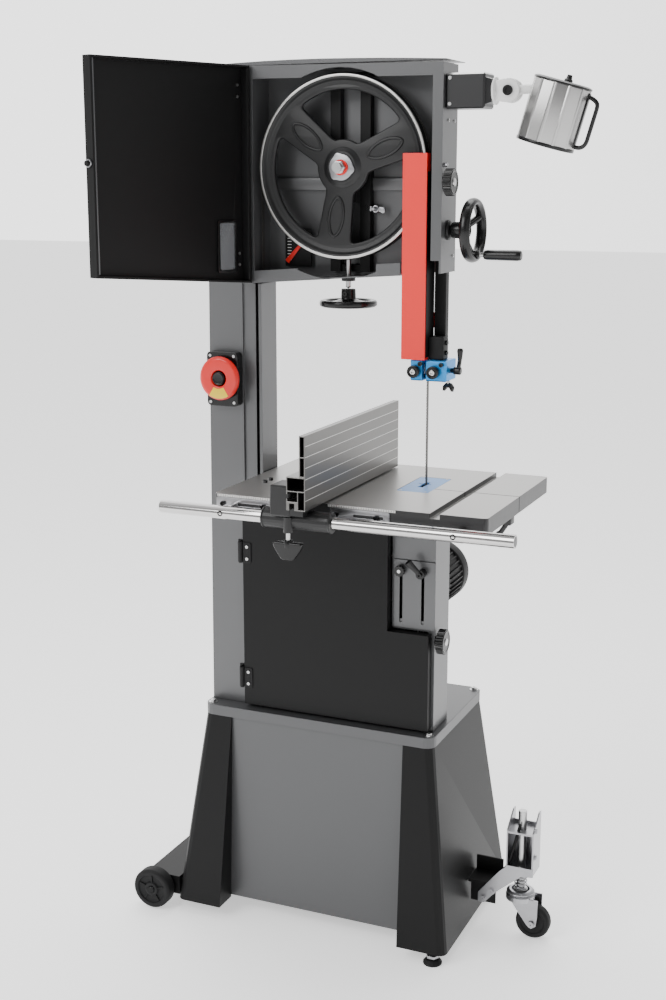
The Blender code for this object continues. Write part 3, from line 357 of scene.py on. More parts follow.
class Looks(Enum):
    """The finishes of the saw."""

    GREY_PAINT = Finish("grey_metallic_paint", "grey_paint", (0.105, 0.106, 0.109), 0.4, metallic=0.5,
                        coat=0.25,
                        scale=900.0, depth=0.16, relief=0.05, dust=0.05)
    STAND_GREY = Finish("stand_grey_paint", "grey_paint", (0.085, 0.086, 0.089), 0.42, metallic=0.4,
                        coat=0.15,
                        scale=900.0, depth=0.14, relief=0.05)
    BLACK_PAINT = Finish("satin_black_paint", "black_paint", (0.005, 0.005, 0.0052), 0.46, scale=500.0,
                         depth=0.2, relief=0.06, specular=0.2)
    CASE_BLACK = Finish("case_black_paint", "black_paint", (0.008, 0.008, 0.0084), 0.5, scale=500.0,
                        depth=0.2,
                        relief=0.06, specular=0.22)
    CASTING = Finish("black_casting", "black_casting", (0.012, 0.012, 0.0125), 0.4, scale=420.0, depth=0.45,
                     relief=0.35, distance=0.0004, specular=0.4)
    PLASTIC = Finish("black_moulding", "black_plastic", (0.006, 0.006, 0.0062), 0.24, coat=0.06, scale=160.0,
                     depth=0.1, relief=0.03, specular=0.35)
    RUBBER = Finish("moulded_rubber", "rubber", (0.01, 0.01, 0.0105), 0.65, scale=300.0, depth=0.25,
                    relief=0.15,
                    specular=0.25)
    # Table: the ground-iron colour shows on faces looking up; faces that don't look up are made near-black
    # and non-metallic.
    IRON_TOP = Finish("ground_iron", "ground_iron", (0.33, 0.322, 0.312), 0.36, metallic=0.9, scale=26.0,
                      depth=0.22, relief=0.1, grain=(0.6, 12.0, 1.0), dust=0.03, sides=(0.02, 0.02, 0.021))
    STEEL = Finish("bright_steel", "bright_steel", (0.56, 0.56, 0.56), 0.28, metallic=1.0, scale=200.0,
                   depth=0.1,
                   relief=0.04)
    MACHINED = Finish("machined_rim", "bright_steel", (0.68, 0.67, 0.65), 0.3, metallic=1.0, scale=300.0,
                      depth=0.12,
                      relief=0.05)
    BLADE_STEEL = Finish("blade_steel", "bright_steel", (0.1, 0.095, 0.09), 0.42, metallic=0.8, scale=60.0,
                         depth=0.12,
                         relief=0.06, grain=(6.0, 14.0, 0.3))
    CHROME = Finish("polished_chrome", "chrome", (0.6, 0.59, 0.585), 0.09, metallic=1.0, scale=20.0,
                    depth=0.05,
                    relief=0.02)
    ALUMINIUM = Finish("brushed_aluminium", "brushed_aluminium", (0.17, 0.166, 0.16), 0.34, metallic=1.0,
                       scale=60.0,
                       depth=0.14, relief=0.08, grain=(14.0, 0.4, 14.0))
    LAMP_METAL = Finish("lamp_shell", "brushed_aluminium", (0.46, 0.455, 0.45), 0.3, metallic=0.95,
                        scale=60.0,
                        depth=0.1, relief=0.06, grain=(0.5, 0.5, 14.0))
    ZINC = Finish("bright_zinc", "zinc_plate", (0.4, 0.4, 0.415), 0.3, metallic=1.0, scale=70.0, depth=0.16,
                  relief=0.05)
    RED = Finish("red_paint", "red_paint", (0.9, 0.018, 0.012), 0.4, coat=0.05, scale=300.0, depth=0.06,
                 relief=0.04)
    RED_PLASTIC = Finish("red_moulding", "red_plastic", (0.72, 0.012, 0.008), 0.3, coat=0.1, scale=300.0,
                         depth=0.06, relief=0.04)
    YELLOW = Finish("yellow_moulding", "red_plastic", (0.85, 0.6, 0.02), 0.35, scale=300.0, depth=0.06,
                    relief=0.04)
    BLUE = Finish("blue_anodised", "blue_anodised", (0.03, 0.3, 0.72), 0.3, metallic=0.6, scale=200.0,
                  depth=0.1,
                  relief=0.06)
    INSERT = Finish("blue_insert", "blue_insert", (0.09, 0.27, 0.6), 0.42, scale=200.0, depth=0.06,
                    relief=0.05)
    WHITE = Finish("white_moulding", "white_plastic", (0.78, 0.78, 0.77), 0.36, scale=200.0, depth=0.05,
                   relief=0.03)
    # Near-black used as painted shadow (in the blade slit and the rail's sunk screw holes) and as the real
    # print of the scale marks.
    SOCKET = Finish("painted_shadow_and_print_black", "black_paint", (0.004, 0.004, 0.004), 0.6, scale=200.0, depth=0.1,
                    specular=0.1)
    FENCE_LINE = Finish("fence_line", "brushed_aluminium", (0.85, 0.84, 0.82), 0.45, metallic=0.6,
                        scale=200.0,
                        depth=0.05)
    # Lamp arm: its real finish is the black paint given as sides; the light metallic colour on its up-facing
    # faces is a painted highlight.
    ARM_WITH_PAINTED_TOP_HIGHLIGHT = Finish("lamp_arm_black_paint_painted_top_highlight", "black_paint", (0.62, 0.62, 0.61), 0.3, metallic=0.8, scale=200.0,
                 depth=0.1,
                 sides=(0.016, 0.016, 0.017))
    WINDOW = Glass("clear_window", "white_plastic", (0.16, 0.165, 0.175), 0.1, 0.55)
    LENS = Glass("lamp_lens", "white_plastic", (0.9, 0.9, 0.88), 0.25, 1.0, 0.6)


# ---------------------------------------------------------------- places

BLADE_LO, BLADE_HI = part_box("blade")
BLADE_OFFSET = 1.4 * MM
TEETH = Vector((BLADE_HI.x - BLADE_OFFSET, BLADE_LO.y, 0.0))


def at(x: float, y: float, z: float) -> Vector:
    """A place in metres, from millimetres right of, behind and above the foot of the teeth's line."""
    return TEETH + Vector((x, y, z)) * MM


def joint_at(name: str) -> Vector:
    """Where a joint's axis passes, from the record."""
    return Vector(next(j for j in frame["joints"] if j["name"] == name)["pos_m"])


# ---------------------------------------------------------------- shaping pieces

def finish_mesh(mesh: bpy.types.Mesh, name: str, look: Looks, body: str, smooth: float = 38.0,
                stands_for: Sequence[str] = ()) -> bpy.types.Object:
    """Turn a mesh in the row frame into a shown piece.

    Args:
        mesh: the piece's mesh, in place.
        name: the piece's name.
        look: its finish.
        body: the CAD body that carries it.
        smooth: edges flatter than this many degrees are shaded smooth.
        stands_for: CAD nodes that it replaces.

    Returns:
        The piece.
    """
    bm = bmesh.new()
    bm.from_mesh(mesh)
    bmesh.ops.remove_doubles(bm, verts=bm.verts, dist=1e-6)
    bmesh.ops.recalc_face_normals(bm, faces=bm.faces[:])
    bm.to_mesh(mesh)
    bm.free()
    mesh.name = name
    mesh.materials.clear()
    mesh.materials.append(look.value.make())
    mesh.polygons.foreach_set("material_index", [0] * len(mesh.polygons))
    mesh.shade_smooth()
    mesh.set_sharp_from_angle(angle=math.radians(smooth))
    piece = bpy.data.objects.new(name, mesh)
    bpy.context.scene.collection.objects.link(piece)
    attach(piece, body)
    if stands_for:
        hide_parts(*stands_for)
    log.info("%s: %d faces on %s", name, len(mesh.polygons), body)
    return piece


def rounded(corners: Sequence[Point], radius: float, steps: int = 4, closed: bool = True) -> list[Point]:
    """Round the corners of an outline.

    Args:
        corners: the outline's corners.
        radius: how far each corner is cut back, at most.
        steps: pieces in each round corner.
        closed: False keeps the first and last points as they are.

    Returns:
        The rounded outline.
    """
    count = len(corners)
    result: list[Point] = []
    for i, corner in enumerate(corners):
        if not closed and i in (0, count - 1):
            result.append(corner)
            continue
        here, before, after = Vector(corner), Vector(corners[i - 1]), Vector(corners[(i + 1) % count])
        back = min(radius, (before - here).length * 0.48)
        ahead = min(radius, (after - here).length * 0.48)
        start = here + (before - here).normalized() * back
        end = here + (after - here).normalized() * ahead
        for k in range(steps + 1):
            t = k / steps
            result.append(tuple(start * (1 - t) ** 2 + here * 2 * t * (1 - t) + end * t ** 2))
    return result


def arc(radius: float, start: float, end: float, steps: int, centre: Point = (0.0, 0.0)) -> list[Point]:
    """Points along an arc, angles in degrees."""
    return [(centre[0] + radius * math.cos(math.radians(start + (end - start) * i / steps)),
             centre[1] + radius * math.sin(math.radians(start + (end - start) * i / steps)))
            for i in range(steps + 1)]


def facing(place: Vector, axis: Vector, up: Vector = Z) -> Matrix:
    """Matrix whose local z points along axis and whose local y leans towards up, at place."""
    z_axis = axis.normalized()
    side = up.cross(z_axis)
    if side.length < 1e-6:
        side = X if abs(z_axis.x) < 0.9 else Y
    x_axis = side.normalized()
    y_axis = z_axis.cross(x_axis).normalized()
    return Matrix.Translation(place) @ Matrix((x_axis, y_axis, z_axis)).transposed().to_4x4()


def lathe_mesh(profile: Sequence[Point], place: Vector, axis: Vector, steps: int = 64) -> bpy.types.Mesh:
    """A closed outline of (radius, height) millimetres, turned about an axis through place."""
    bm = bmesh.new()
    rings = []
    for r, h in profile:
        if r < 1e-6:
            rings.append([bm.verts.new((0.0, 0.0, h * MM))])
            continue
        rings.append([bm.verts.new((r * MM * math.cos(2 * math.pi * k / steps),
                                    r * MM * math.sin(2 * math.pi * k / steps), h * MM))
                      for k in range(steps)])
    for low, high in zip(rings, rings[1:] + rings[:1]):
        if len(low) == 1 and len(high) == 1:
            continue
        for k in range(steps):
            ring = [low[k % len(low)], low[(k + 1) % len(low)], high[(k + 1) % len(high)],
                    high[k % len(high)]]
            unique = list(dict.fromkeys(ring))
            bm.faces.new(unique)
    bmesh.ops.transform(bm, matrix=facing(place, axis), verts=bm.verts)
    mesh = bpy.data.meshes.new("turned")
    bm.to_mesh(mesh)
    bm.free()
    return mesh


def plate_mesh(outline: Sequence[Point], thickness: float, where: Matrix, edge: float = 0.4,
               holes: Sequence[Sequence[Point]] = ()) -> bpy.types.Mesh:
    """A plate with softened edges: an outline in millimetres, thickened about the local xy plane."""
    curve = bpy.data.curves.new("plate", "CURVE")
    curve.dimensions = "2D"
    curve.fill_mode = "BOTH"
    curve.bevel_depth = edge * MM
    curve.bevel_resolution = 2
    curve.offset = -edge * MM
    curve.extrude = (thickness / 2 - edge) * MM
    for loop in (outline, *holes):
        spline = curve.splines.new("POLY")
        spline.points.add(len(loop) - 1)
        for point, (u, v) in zip(spline.points, loop):
            point.co = (u * MM, v * MM, 0.0, 1.0)
        spline.use_cyclic_u = True
    return curve_to_mesh(curve, where)


def tube_mesh(points: Sequence[Vector], radius: float, closed: bool = False,
              corner: int = 0) -> bpy.types.Mesh:
    """A round bar through points in the row frame."""
    curve = bpy.data.curves.new("tube", "CURVE")
    curve.dimensions = "3D"
    curve.bevel_depth = radius * MM
    curve.bevel_resolution = 4
    curve.use_fill_caps = True
    spline = curve.splines.new("POLY")
    path = list(points)
    if corner:
        path = soften_path(path, corner)
    spline.points.add(len(path) - 1)
    for point, place in zip(spline.points, path):
        point.co = (*place, 1.0)
    spline.use_cyclic_u = closed
    return curve_to_mesh(curve, Matrix.Identity(4))


def soften_path(path: Sequence[Vector], radius: float, steps: int = 5) -> list[Vector]:
    """Round the corners of a path in space, by up to radius millimetres."""
    result = [path[0]]
    for before, here, after in zip(path, path[1:], path[2:]):
        back = min(radius * MM, (before - here).length * 0.48)
        ahead = min(radius * MM, (after - here).length * 0.48)
        start = here + (before - here).normalized() * back
        end = here + (after - here).normalized() * ahead
        for k in range(steps + 1):
            t = k / steps
            result.append(start * (1 - t) ** 2 + here * 2 * t * (1 - t) + end * t ** 2)
    return [*result, path[-1]]


def curve_to_mesh(curve: bpy.types.Curve, where: Matrix) -> bpy.types.Mesh:
    """Evaluate a curve and put its mesh in place."""
    maker = bpy.data.objects.new("curve_maker", curve)
    bpy.context.scene.collection.objects.link(maker)
    bpy.context.view_layer.update()
    mesh = bpy.data.meshes.new_from_object(maker.evaluated_get(bpy.context.evaluated_depsgraph_get()))
    bpy.data.objects.remove(maker, do_unlink=True)
    mesh.transform(where)
    return mesh


def block_mesh(lo: Vector, hi: Vector, bevel: float, segments: int = 3) -> bpy.types.Mesh:
    """A block with rounded edges, from its lowest and highest corners."""
    bm = bmesh.new()
    bmesh.ops.create_cube(bm, size=1.0)
    bmesh.ops.scale(bm, vec=hi - lo, verts=bm.verts)
    bmesh.ops.translate(bm, vec=(lo + hi) / 2, verts=bm.verts)
    bmesh.ops.bevel(bm, geom=bm.edges[:], offset=bevel * MM, segments=segments, affect="EDGES", profile=0.5)
    mesh = bpy.data.meshes.new("block")
    bm.to_mesh(mesh)
    bm.free()
    return mesh


def joined(*meshes: bpy.types.Mesh) -> bpy.types.Mesh:
    """Several meshes in one."""
    bm = bmesh.new()
    for mesh in meshes:
        bm.from_mesh(mesh)
    mesh = bpy.data.meshes.new("joined")
    bm.to_mesh(mesh)
    bm.free()
    return mesh


# ---------------------------------------------------------------- geometry node trees

SOCKET_DEPTH = 0.6
HEAD_LIFT = 0.62
WASHER_SHARE = 0.25


def start_tree(name: str, inputs: Iterable[tuple[str, str, float | int | None]]):
    """Start a geometry node tree with a geometry input, named sizes and a material input."""
    tree = bpy.data.node_groups.new(name, "GeometryNodeTree")
    tree.interface.new_socket("Geometry", in_out="INPUT", socket_type="NodeSocketGeometry")
    for label, kind, value in inputs:
        socket = tree.interface.new_socket(label, in_out="INPUT", socket_type=kind)
        if value is not None:
            socket.default_value = value
    tree.interface.new_socket("Material", in_out="INPUT", socket_type="NodeSocketMaterial")
    tree.interface.new_socket("Geometry", in_out="OUTPUT", socket_type="NodeSocketGeometry")
    return tree, tree.nodes.new("NodeGroupInput"), tree.nodes.new("NodeGroupOutput")


def end_tree(tree: bpy.types.NodeTree, given: bpy.types.Node, result: bpy.types.Node,
             shape: bpy.types.NodeSocket) -> bpy.types.NodeTree:
    """Close a tree with Realize Instances and Set Material."""
    real = tree.nodes.new("GeometryNodeRealizeInstances")
    paint = tree.nodes.new("GeometryNodeSetMaterial")
    tree.links.new(shape, real.inputs[0])
    tree.links.new(real.outputs[0], paint.inputs["Geometry"])
    tree.links.new(given.outputs["Material"], paint.inputs["Material"])
    tree.links.new(paint.outputs[0], result.inputs[0])
    return tree


def stand_on_points(tree: bpy.types.NodeTree, given: bpy.types.Node, shape: bpy.types.NodeSocket):
    """Instance a shape on the input's points, turned by their 'facing' and 'heading' attributes."""
    nodes, links = tree.nodes, tree.links
    turns = []
    for label, axis in (("facing", "Z"), ("heading", "X")):
        read = nodes.new("GeometryNodeInputNamedAttribute")
        read.data_type = "FLOAT_VECTOR"
        read.inputs["Name"].default_value = label
        turn = nodes.new("FunctionNodeAlignRotationToVector")
        turn.axis = axis
        turn.pivot_axis = "AUTO" if axis == "Z" else "Z"
        links.new(read.outputs[0], turn.inputs["Vector"])
        if turns:
            links.new(turns[-1].outputs[0], turn.inputs["Rotation"])
        turns.append(turn)
    place = nodes.new("GeometryNodeInstanceOnPoints")
    links.new(given.outputs["Geometry"], place.inputs["Points"])
    links.new(shape, place.inputs["Instance"])
    links.new(turns[-1].outputs[0], place.inputs["Rotation"])
    return place.outputs[0]


def fastener_tree() -> bpy.types.NodeTree:
    """Screw or bolt heads with a washer and a sunk socket, one on each point."""
    tree, given, result = start_tree("fasteners", [
        ("Radius", "NodeSocketFloat", 0.004), ("Height", "NodeSocketFloat", 0.003),
                                                   ("Sides", "NodeSocketInt", 24),
        ("Washer Radius", "NodeSocketFloat", 0.0), ("Socket Share", "NodeSocketFloat", 0.5)])
    nodes, links = tree.nodes, tree.links
    head = nodes.new("GeometryNodeMeshCylinder")
    links.new(given.outputs["Radius"], head.inputs["Radius"])
    links.new(given.outputs["Height"], head.inputs["Depth"])
    links.new(given.outputs["Sides"], head.inputs["Vertices"])
    inset = nodes.new("GeometryNodeExtrudeMesh")
    inset.mode = "FACES"
    inset.inputs["Offset Scale"].default_value = 0.0
    inset.inputs["Individual"].default_value = False
    links.new(head.outputs["Mesh"], inset.inputs["Mesh"])
    links.new(head.outputs["Top"], inset.inputs["Selection"])
    shrink = nodes.new("GeometryNodeScaleElements")
    links.new(inset.outputs["Mesh"], shrink.inputs["Geometry"])
    links.new(inset.outputs["Top"], shrink.inputs["Selection"])
    links.new(given.outputs["Socket Share"], shrink.inputs["Scale"])
    sink = nodes.new("GeometryNodeExtrudeMesh")
    sink.mode = "FACES"
    sink.inputs["Individual"].default_value = False
    height = given.outputs["Height"]
    links.new(shrink.outputs[0], sink.inputs["Mesh"])
    links.new(inset.outputs["Top"], sink.inputs["Selection"])
    links.new(maths(tree, "MULTIPLY", height, -SOCKET_DEPTH), sink.inputs["Offset Scale"])
    lift = nodes.new("ShaderNodeCombineXYZ")
    links.new(maths(tree, "MULTIPLY", height, HEAD_LIFT), lift.inputs["Z"])
    raised = nodes.new("GeometryNodeTransform")
    links.new(sink.outputs["Mesh"], raised.inputs["Geometry"])
    links.new(lift.outputs[0], raised.inputs["Translation"])
    washer = nodes.new("GeometryNodeMeshCylinder")
    washer.inputs["Vertices"].default_value = 28
    links.new(maths(tree, "MULTIPLY", height, WASHER_SHARE), washer.inputs["Depth"])
    links.new(given.outputs["Washer Radius"], washer.inputs["Radius"])
    both = nodes.new("GeometryNodeJoinGeometry")
    links.new(raised.outputs[0], both.inputs[0])
    links.new(washer.outputs["Mesh"], both.inputs[0])
    placed = stand_on_points(tree, given, both.outputs[0])
    return end_tree(tree, given, result, placed)


def repeat_tree() -> bpy.types.NodeTree:
    """Copies of a template piece, one on each point: teeth, ribs and slots."""
    tree, given, result = start_tree("repeats", [("Template", "NodeSocketObject", None)])
    nodes, links = tree.nodes, tree.links
    template = nodes.new("GeometryNodeObjectInfo")
    links.new(given.outputs["Template"], template.inputs["Object"])
    placed = stand_on_points(tree, given, template.outputs["Geometry"])
    return end_tree(tree, given, result, placed)


def flute_tree() -> bpy.types.NodeTree:
    """A grip whose side swells and sinks evenly round its axis."""
    tree, given, result = start_tree("fluted_grip", [
        ("Radius", "NodeSocketFloat", 0.026), ("Length", "NodeSocketFloat", 0.018),
                                                     ("Flutes", "NodeSocketFloat", 24.0),
        ("Depth", "NodeSocketFloat", 0.0012), ("Steps", "NodeSocketInt", 192)])
    nodes, links = tree.nodes, tree.links
    drum = nodes.new("GeometryNodeMeshCylinder")
    drum.inputs["Side Segments"].default_value = 1
    links.new(given.outputs["Steps"], drum.inputs["Vertices"])
    links.new(given.outputs["Radius"], drum.inputs["Radius"])
    links.new(given.outputs["Length"], drum.inputs["Depth"])
    place = nodes.new("GeometryNodeInputPosition")
    split = nodes.new("ShaderNodeSeparateXYZ")
    links.new(place.outputs[0], split.inputs[0])
    angle = maths(tree, "ARCTAN2", split.outputs["Y"], split.outputs["X"])
    wave = maths(tree, "COSINE", maths(tree, "MULTIPLY", angle, given.outputs["Flutes"]))
    swell = maths(tree, "MULTIPLY", wave, given.outputs["Depth"])
    flat = nodes.new("ShaderNodeCombineXYZ")
    links.new(split.outputs["X"], flat.inputs["X"])
    links.new(split.outputs["Y"], flat.inputs["Y"])
    outward = nodes.new("ShaderNodeVectorMath")
    outward.operation = "NORMALIZE"
    links.new(flat.outputs[0], outward.inputs[0])
    push = nodes.new("ShaderNodeVectorMath")
    push.operation = "SCALE"
    links.new(outward.outputs[0], push.inputs[0])
    links.new(swell, push.inputs["Scale"])
    shaped = nodes.new("GeometryNodeSetPosition")
    links.new(drum.outputs["Mesh"], shaped.inputs["Geometry"])
    links.new(push.outputs[0], shaped.inputs["Offset"])
    return end_tree(tree, given, result, shaped.outputs[0])


def coil_tree() -> bpy.types.NodeTree:
    """A coil spring standing on the origin."""
    tree, given, result = start_tree("coil_spring", [
        ("Turns", "NodeSocketFloat", 6.0), ("Radius", "NodeSocketFloat", 0.013),
                                                     ("Length", "NodeSocketFloat", 0.04),
        ("Wire", "NodeSocketFloat", 0.0015)])
    nodes, links = tree.nodes, tree.links
    spiral = nodes.new("GeometryNodeCurveSpiral")
    spiral.inputs["Resolution"].default_value = 20
    links.new(given.outputs["Turns"], spiral.inputs["Rotations"])
    links.new(given.outputs["Radius"], spiral.inputs["Start Radius"])
    links.new(given.outputs["Radius"], spiral.inputs["End Radius"])
    links.new(given.outputs["Length"], spiral.inputs["Height"])
    wire = nodes.new("GeometryNodeCurvePrimitiveCircle")
    wire.inputs["Resolution"].default_value = 10
    links.new(given.outputs["Wire"], wire.inputs["Radius"])
    swept = nodes.new("GeometryNodeCurveToMesh")
    swept.inputs["Fill Caps"].default_value = True
    links.new(spiral.outputs[0], swept.inputs["Curve"])
    links.new(wire.outputs[0], swept.inputs["Profile Curve"])
    return end_tree(tree, given, result, swept.outputs[0])


FASTENERS = fastener_tree()
REPEATS = repeat_tree()
FLUTES = flute_tree()
COIL = coil_tree()


@dataclass(frozen=True)
class Spot:
    """A point that a repeated piece stands on, the way it faces and the way its x axis heads."""

    place: Vector
    facing: Vector
    heading: Vector = field(default_factory=lambda: Vector((0.0, 0.0, 0.0)))


def grown_mesh(tree: bpy.types.NodeTree, look: Looks, values: dict[str, object],
               spots: Sequence[Spot] = ()) -> bpy.types.Mesh:
    """Run a geometry node tree and return its plain mesh.

    Args:
        tree: the tree.
        look: the finish for its Material input.
        values: its other inputs by name.
        spots: the points that it works on.

    Returns:
        The evaluated mesh.
    """
    mesh = bpy.data.meshes.new("spots")
    mesh.from_pydata([spot.place for spot in spots], [], [])
    for label in ("facing", "heading"):
        layer = mesh.attributes.new(label, "FLOAT_VECTOR", "POINT")
        layer.data.foreach_set("vector", [c for spot in spots for c in getattr(spot, label)])
    holder = bpy.data.objects.new("spots", mesh)
    bpy.context.scene.collection.objects.link(holder)
    modifier = holder.modifiers.new(tree.name, "NODES")
    modifier.node_group = tree
    given = {**values, "Material": look.value.make()}
    for item in tree.interface.items_tree:
        if item.in_out == "INPUT" and item.name in given:
            modifier[item.identifier] = given[item.name]
    bpy.context.view_layer.update()
    grown = bpy.data.meshes.new_from_object(holder.evaluated_get(bpy.context.evaluated_depsgraph_get()))
    holder.modifiers.remove(modifier)
    bpy.data.objects.remove(holder, do_unlink=True)
    for layer in [a.name for a in grown.attributes if a.name in ("facing", "heading")]:
        grown.attributes.remove(grown.attributes[layer])
    return grown


@dataclass(frozen=True)
class Screws:
    """One kind of fastener.

    Args:
        radius: head radius in millimetres.
        height: head height in millimetres.
        sides: 6 for a hexagon head, more for a round one.
        washer: washer radius in millimetres, or 0 for none.
        socket: share of the head's width taken by its sunk socket.
        look: its finish.
    """

    radius: float
    height: float
    sides: int = 24
    washer: float = 0.0
    socket: float = 0.5
    look: Looks = Looks.STEEL

    def put(self, name: str, body: str, spots: Sequence[Spot]) -> bpy.types.Object:
        """Stand one fastener on each spot."""
        mesh = grown_mesh(FASTENERS, self.look, {
            "Radius": self.radius * MM, "Height": self.height * MM, "Sides": self.sides,
            "Washer Radius": max(self.washer, self.radius * 0.9) * MM, "Socket Share": self.socket}, spots)
        return finish_mesh(mesh, name, self.look, body, smooth=28.0)


def repeated(template: bpy.types.Mesh, look: Looks, spots: Sequence[Spot]) -> bpy.types.Mesh:
    """Copies of a template mesh on spots."""
    pattern = bpy.data.objects.new("template", template)
    bpy.context.scene.collection.objects.link(pattern)
    mesh = grown_mesh(REPEATS, look, {"Template": pattern}, spots)
    bpy.data.objects.remove(pattern, do_unlink=True)
    return mesh


HEX_BOLT = Screws(6.5, 4.5, sides=6, washer=10.0, socket=0.3)
SOCKET_SCREW = Screws(4.6, 4.0, sides=28, washer=0.0, socket=0.52, look=Looks.PLASTIC)
PAN_SCREW = Screws(3.2, 1.8, sides=24, washer=0.0, socket=0.45)
RIVET = Screws(3.0, 1.2, sides=20, washer=0.0, socket=0.2)


# ---------------------------------------------------------------- band wheels

@dataclass
class BandWheel:
    """Cast three-spoke band wheel with a machined rim and a rubber tyre."""

    node: str
    body: str
    spin: str
    recast: bool
    spoke_angles: tuple[float, ...] = (22.0, 142.0, 262.0)
    web: float = 10.0
    rim_band: float = 30.0
    hub_bulge: float = 54.0

    def build(self) -> None:
        """Make the wheel's pieces."""
        lo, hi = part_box(self.node)
        centre = joint_at(self.spin)
        self.radius = (hi.z - lo.z) / 2 / MM
        self.front = -12.0
        self.centre = Vector((centre.x, TEETH.y, centre.z))
        if self.recast:
            self.cast()
        self.machined_rim()
        self.tyre()
        self.almond_ribs()

    def cast(self) -> None:
        """Web with three rounded windows, the rim's black inner wall and the hub."""
        r = self.radius
        windows = []
        for angle in self.spoke_angles:
            middle = angle + 60.0
            corners = (arc(r - self.rim_band, middle - 46, middle + 46, 12)
                       + arc(self.hub_bulge, middle + 28, middle - 28, 6))
            windows.append(rounded(corners, 14.0, 4))
        turn = facing(self.centre + Y * 1 * MM, -Y)
        web = plate_mesh(arc(r - 13, 0, 357, 119), self.web, turn, 3.2, windows)
        inner = r - 30.0
        rim = lathe_mesh(rounded([(r - 4, 12), (r - 4, -16), (r - 11, -16), (r - 13, -8), (inner, -5),
                                  (inner, 3),
                                  (r - 14, 5), (r - 10, 12)], 2.0, 2), self.centre, -Y, 128)
        hub = lathe_mesh(rounded([(0, 10.0), (30, 10.0), (34, 7), (40, 4), (40, -8), (34, -17), (0, -17)],
                                 2.0, 3,
                                 closed=False), self.centre, -Y, 64)
        finish_mesh(joined(web, rim, hub), "wheel_casting", Looks.CASTING, self.body, 40, (self.node,))

    def machined_rim(self) -> None:
        """Bright turned edge of the rim."""
        r = self.radius
        profile = rounded([(r - 0.6, 10.5), (r - 2.4, 12), (r - 6.2, 12), (r - 7.6, 10.4), (r - 7.6, 6),
                           (r - 3.2, 6),
                           (r - 3.2, 10.5)], 0.5, 2)
        finish_mesh(lathe_mesh([(a, b + 0.15) for a, b in profile], self.centre, -Y, 160),
                    self.node + "_edge",
                    Looks.MACHINED, self.body)

    def tyre(self) -> None:
        """Crowned rubber tyre on the rim."""
        r = self.radius
        profile = [(r - 3.6, 10.8), (r - 0.8, 10.8), (r - 0.1, 6), (r, 0), (r - 0.1, -10), (r - 0.8, -15.5),
                   (r - 3.6, -15.5)]
        finish_mesh(lathe_mesh(profile, self.centre, -Y, 160), self.node + "_tyre", Looks.RUBBER, self.body)

    def almond_ribs(self) -> None:
        """Raised almond-shaped ring on each spoke."""
        meshes = []
        for angle in self.spoke_angles:
            turn = Matrix.Rotation(math.radians(angle), 4, -Y)
            path = []
            for k in range(48):
                t = 2 * math.pi * k / 48
                along = 96.0 + 38.0 * math.cos(t)
                across = 15.0 * math.copysign(abs(math.sin(t)) ** 1.25, math.sin(t))
                local = Vector((along, -4.2, across)) * MM
                path.append(self.centre + turn.to_3x3() @ local)
            meshes.append(tube_mesh(path, 2.9, closed=True))
        finish_mesh(joined(*meshes), self.node + "_ribs", Looks.CASTING, self.body, 60)


def axle_end() -> None:
    """Silver cam washer, red washer and nut on the upper axle."""
    centre = joint_at("upper_wheel_spin")
    front = Vector((centre.x, TEETH.y, centre.z))
    lobes = []
    for k in range(90):
        t = 2 * math.pi * k / 90
        swell = 25.0 + 3.6 * max(0.0, math.cos(3 * t + 0.6)) ** 3
        lobes.append((swell * math.cos(t), swell * math.sin(t)))
    cam = plate_mesh(lobes, 2.4, facing(front - Y * 11.8 * MM, -Y), 0.4)
    finish_mesh(cam, "cam_washer", Looks.ZINC, "upper_axle")
    red = lathe_mesh([(10.3, 13.2), (15, 13.2), (15, 17), (10.3, 17)], front, -Y, 48)
    finish_mesh(red, "retaining_washer", Looks.RED, "upper_axle")
    nut = plate_mesh(rounded(arc(13.5, 0, 300, 5), 1.0, 2), 9.0, facing(front - Y * 22 * MM, -Y), 0.8)
    tip = lathe_mesh([(0, 26), (7, 26), (7, 33), (6.2, 34), (3.5, 34), (3.5, 31), (0, 31)], front, -Y, 32)
    finish_mesh(joined(nut, tip), "axle_nut", Looks.STEEL, "upper_axle")


# ---------------------------------------------------------------- upper case and doors

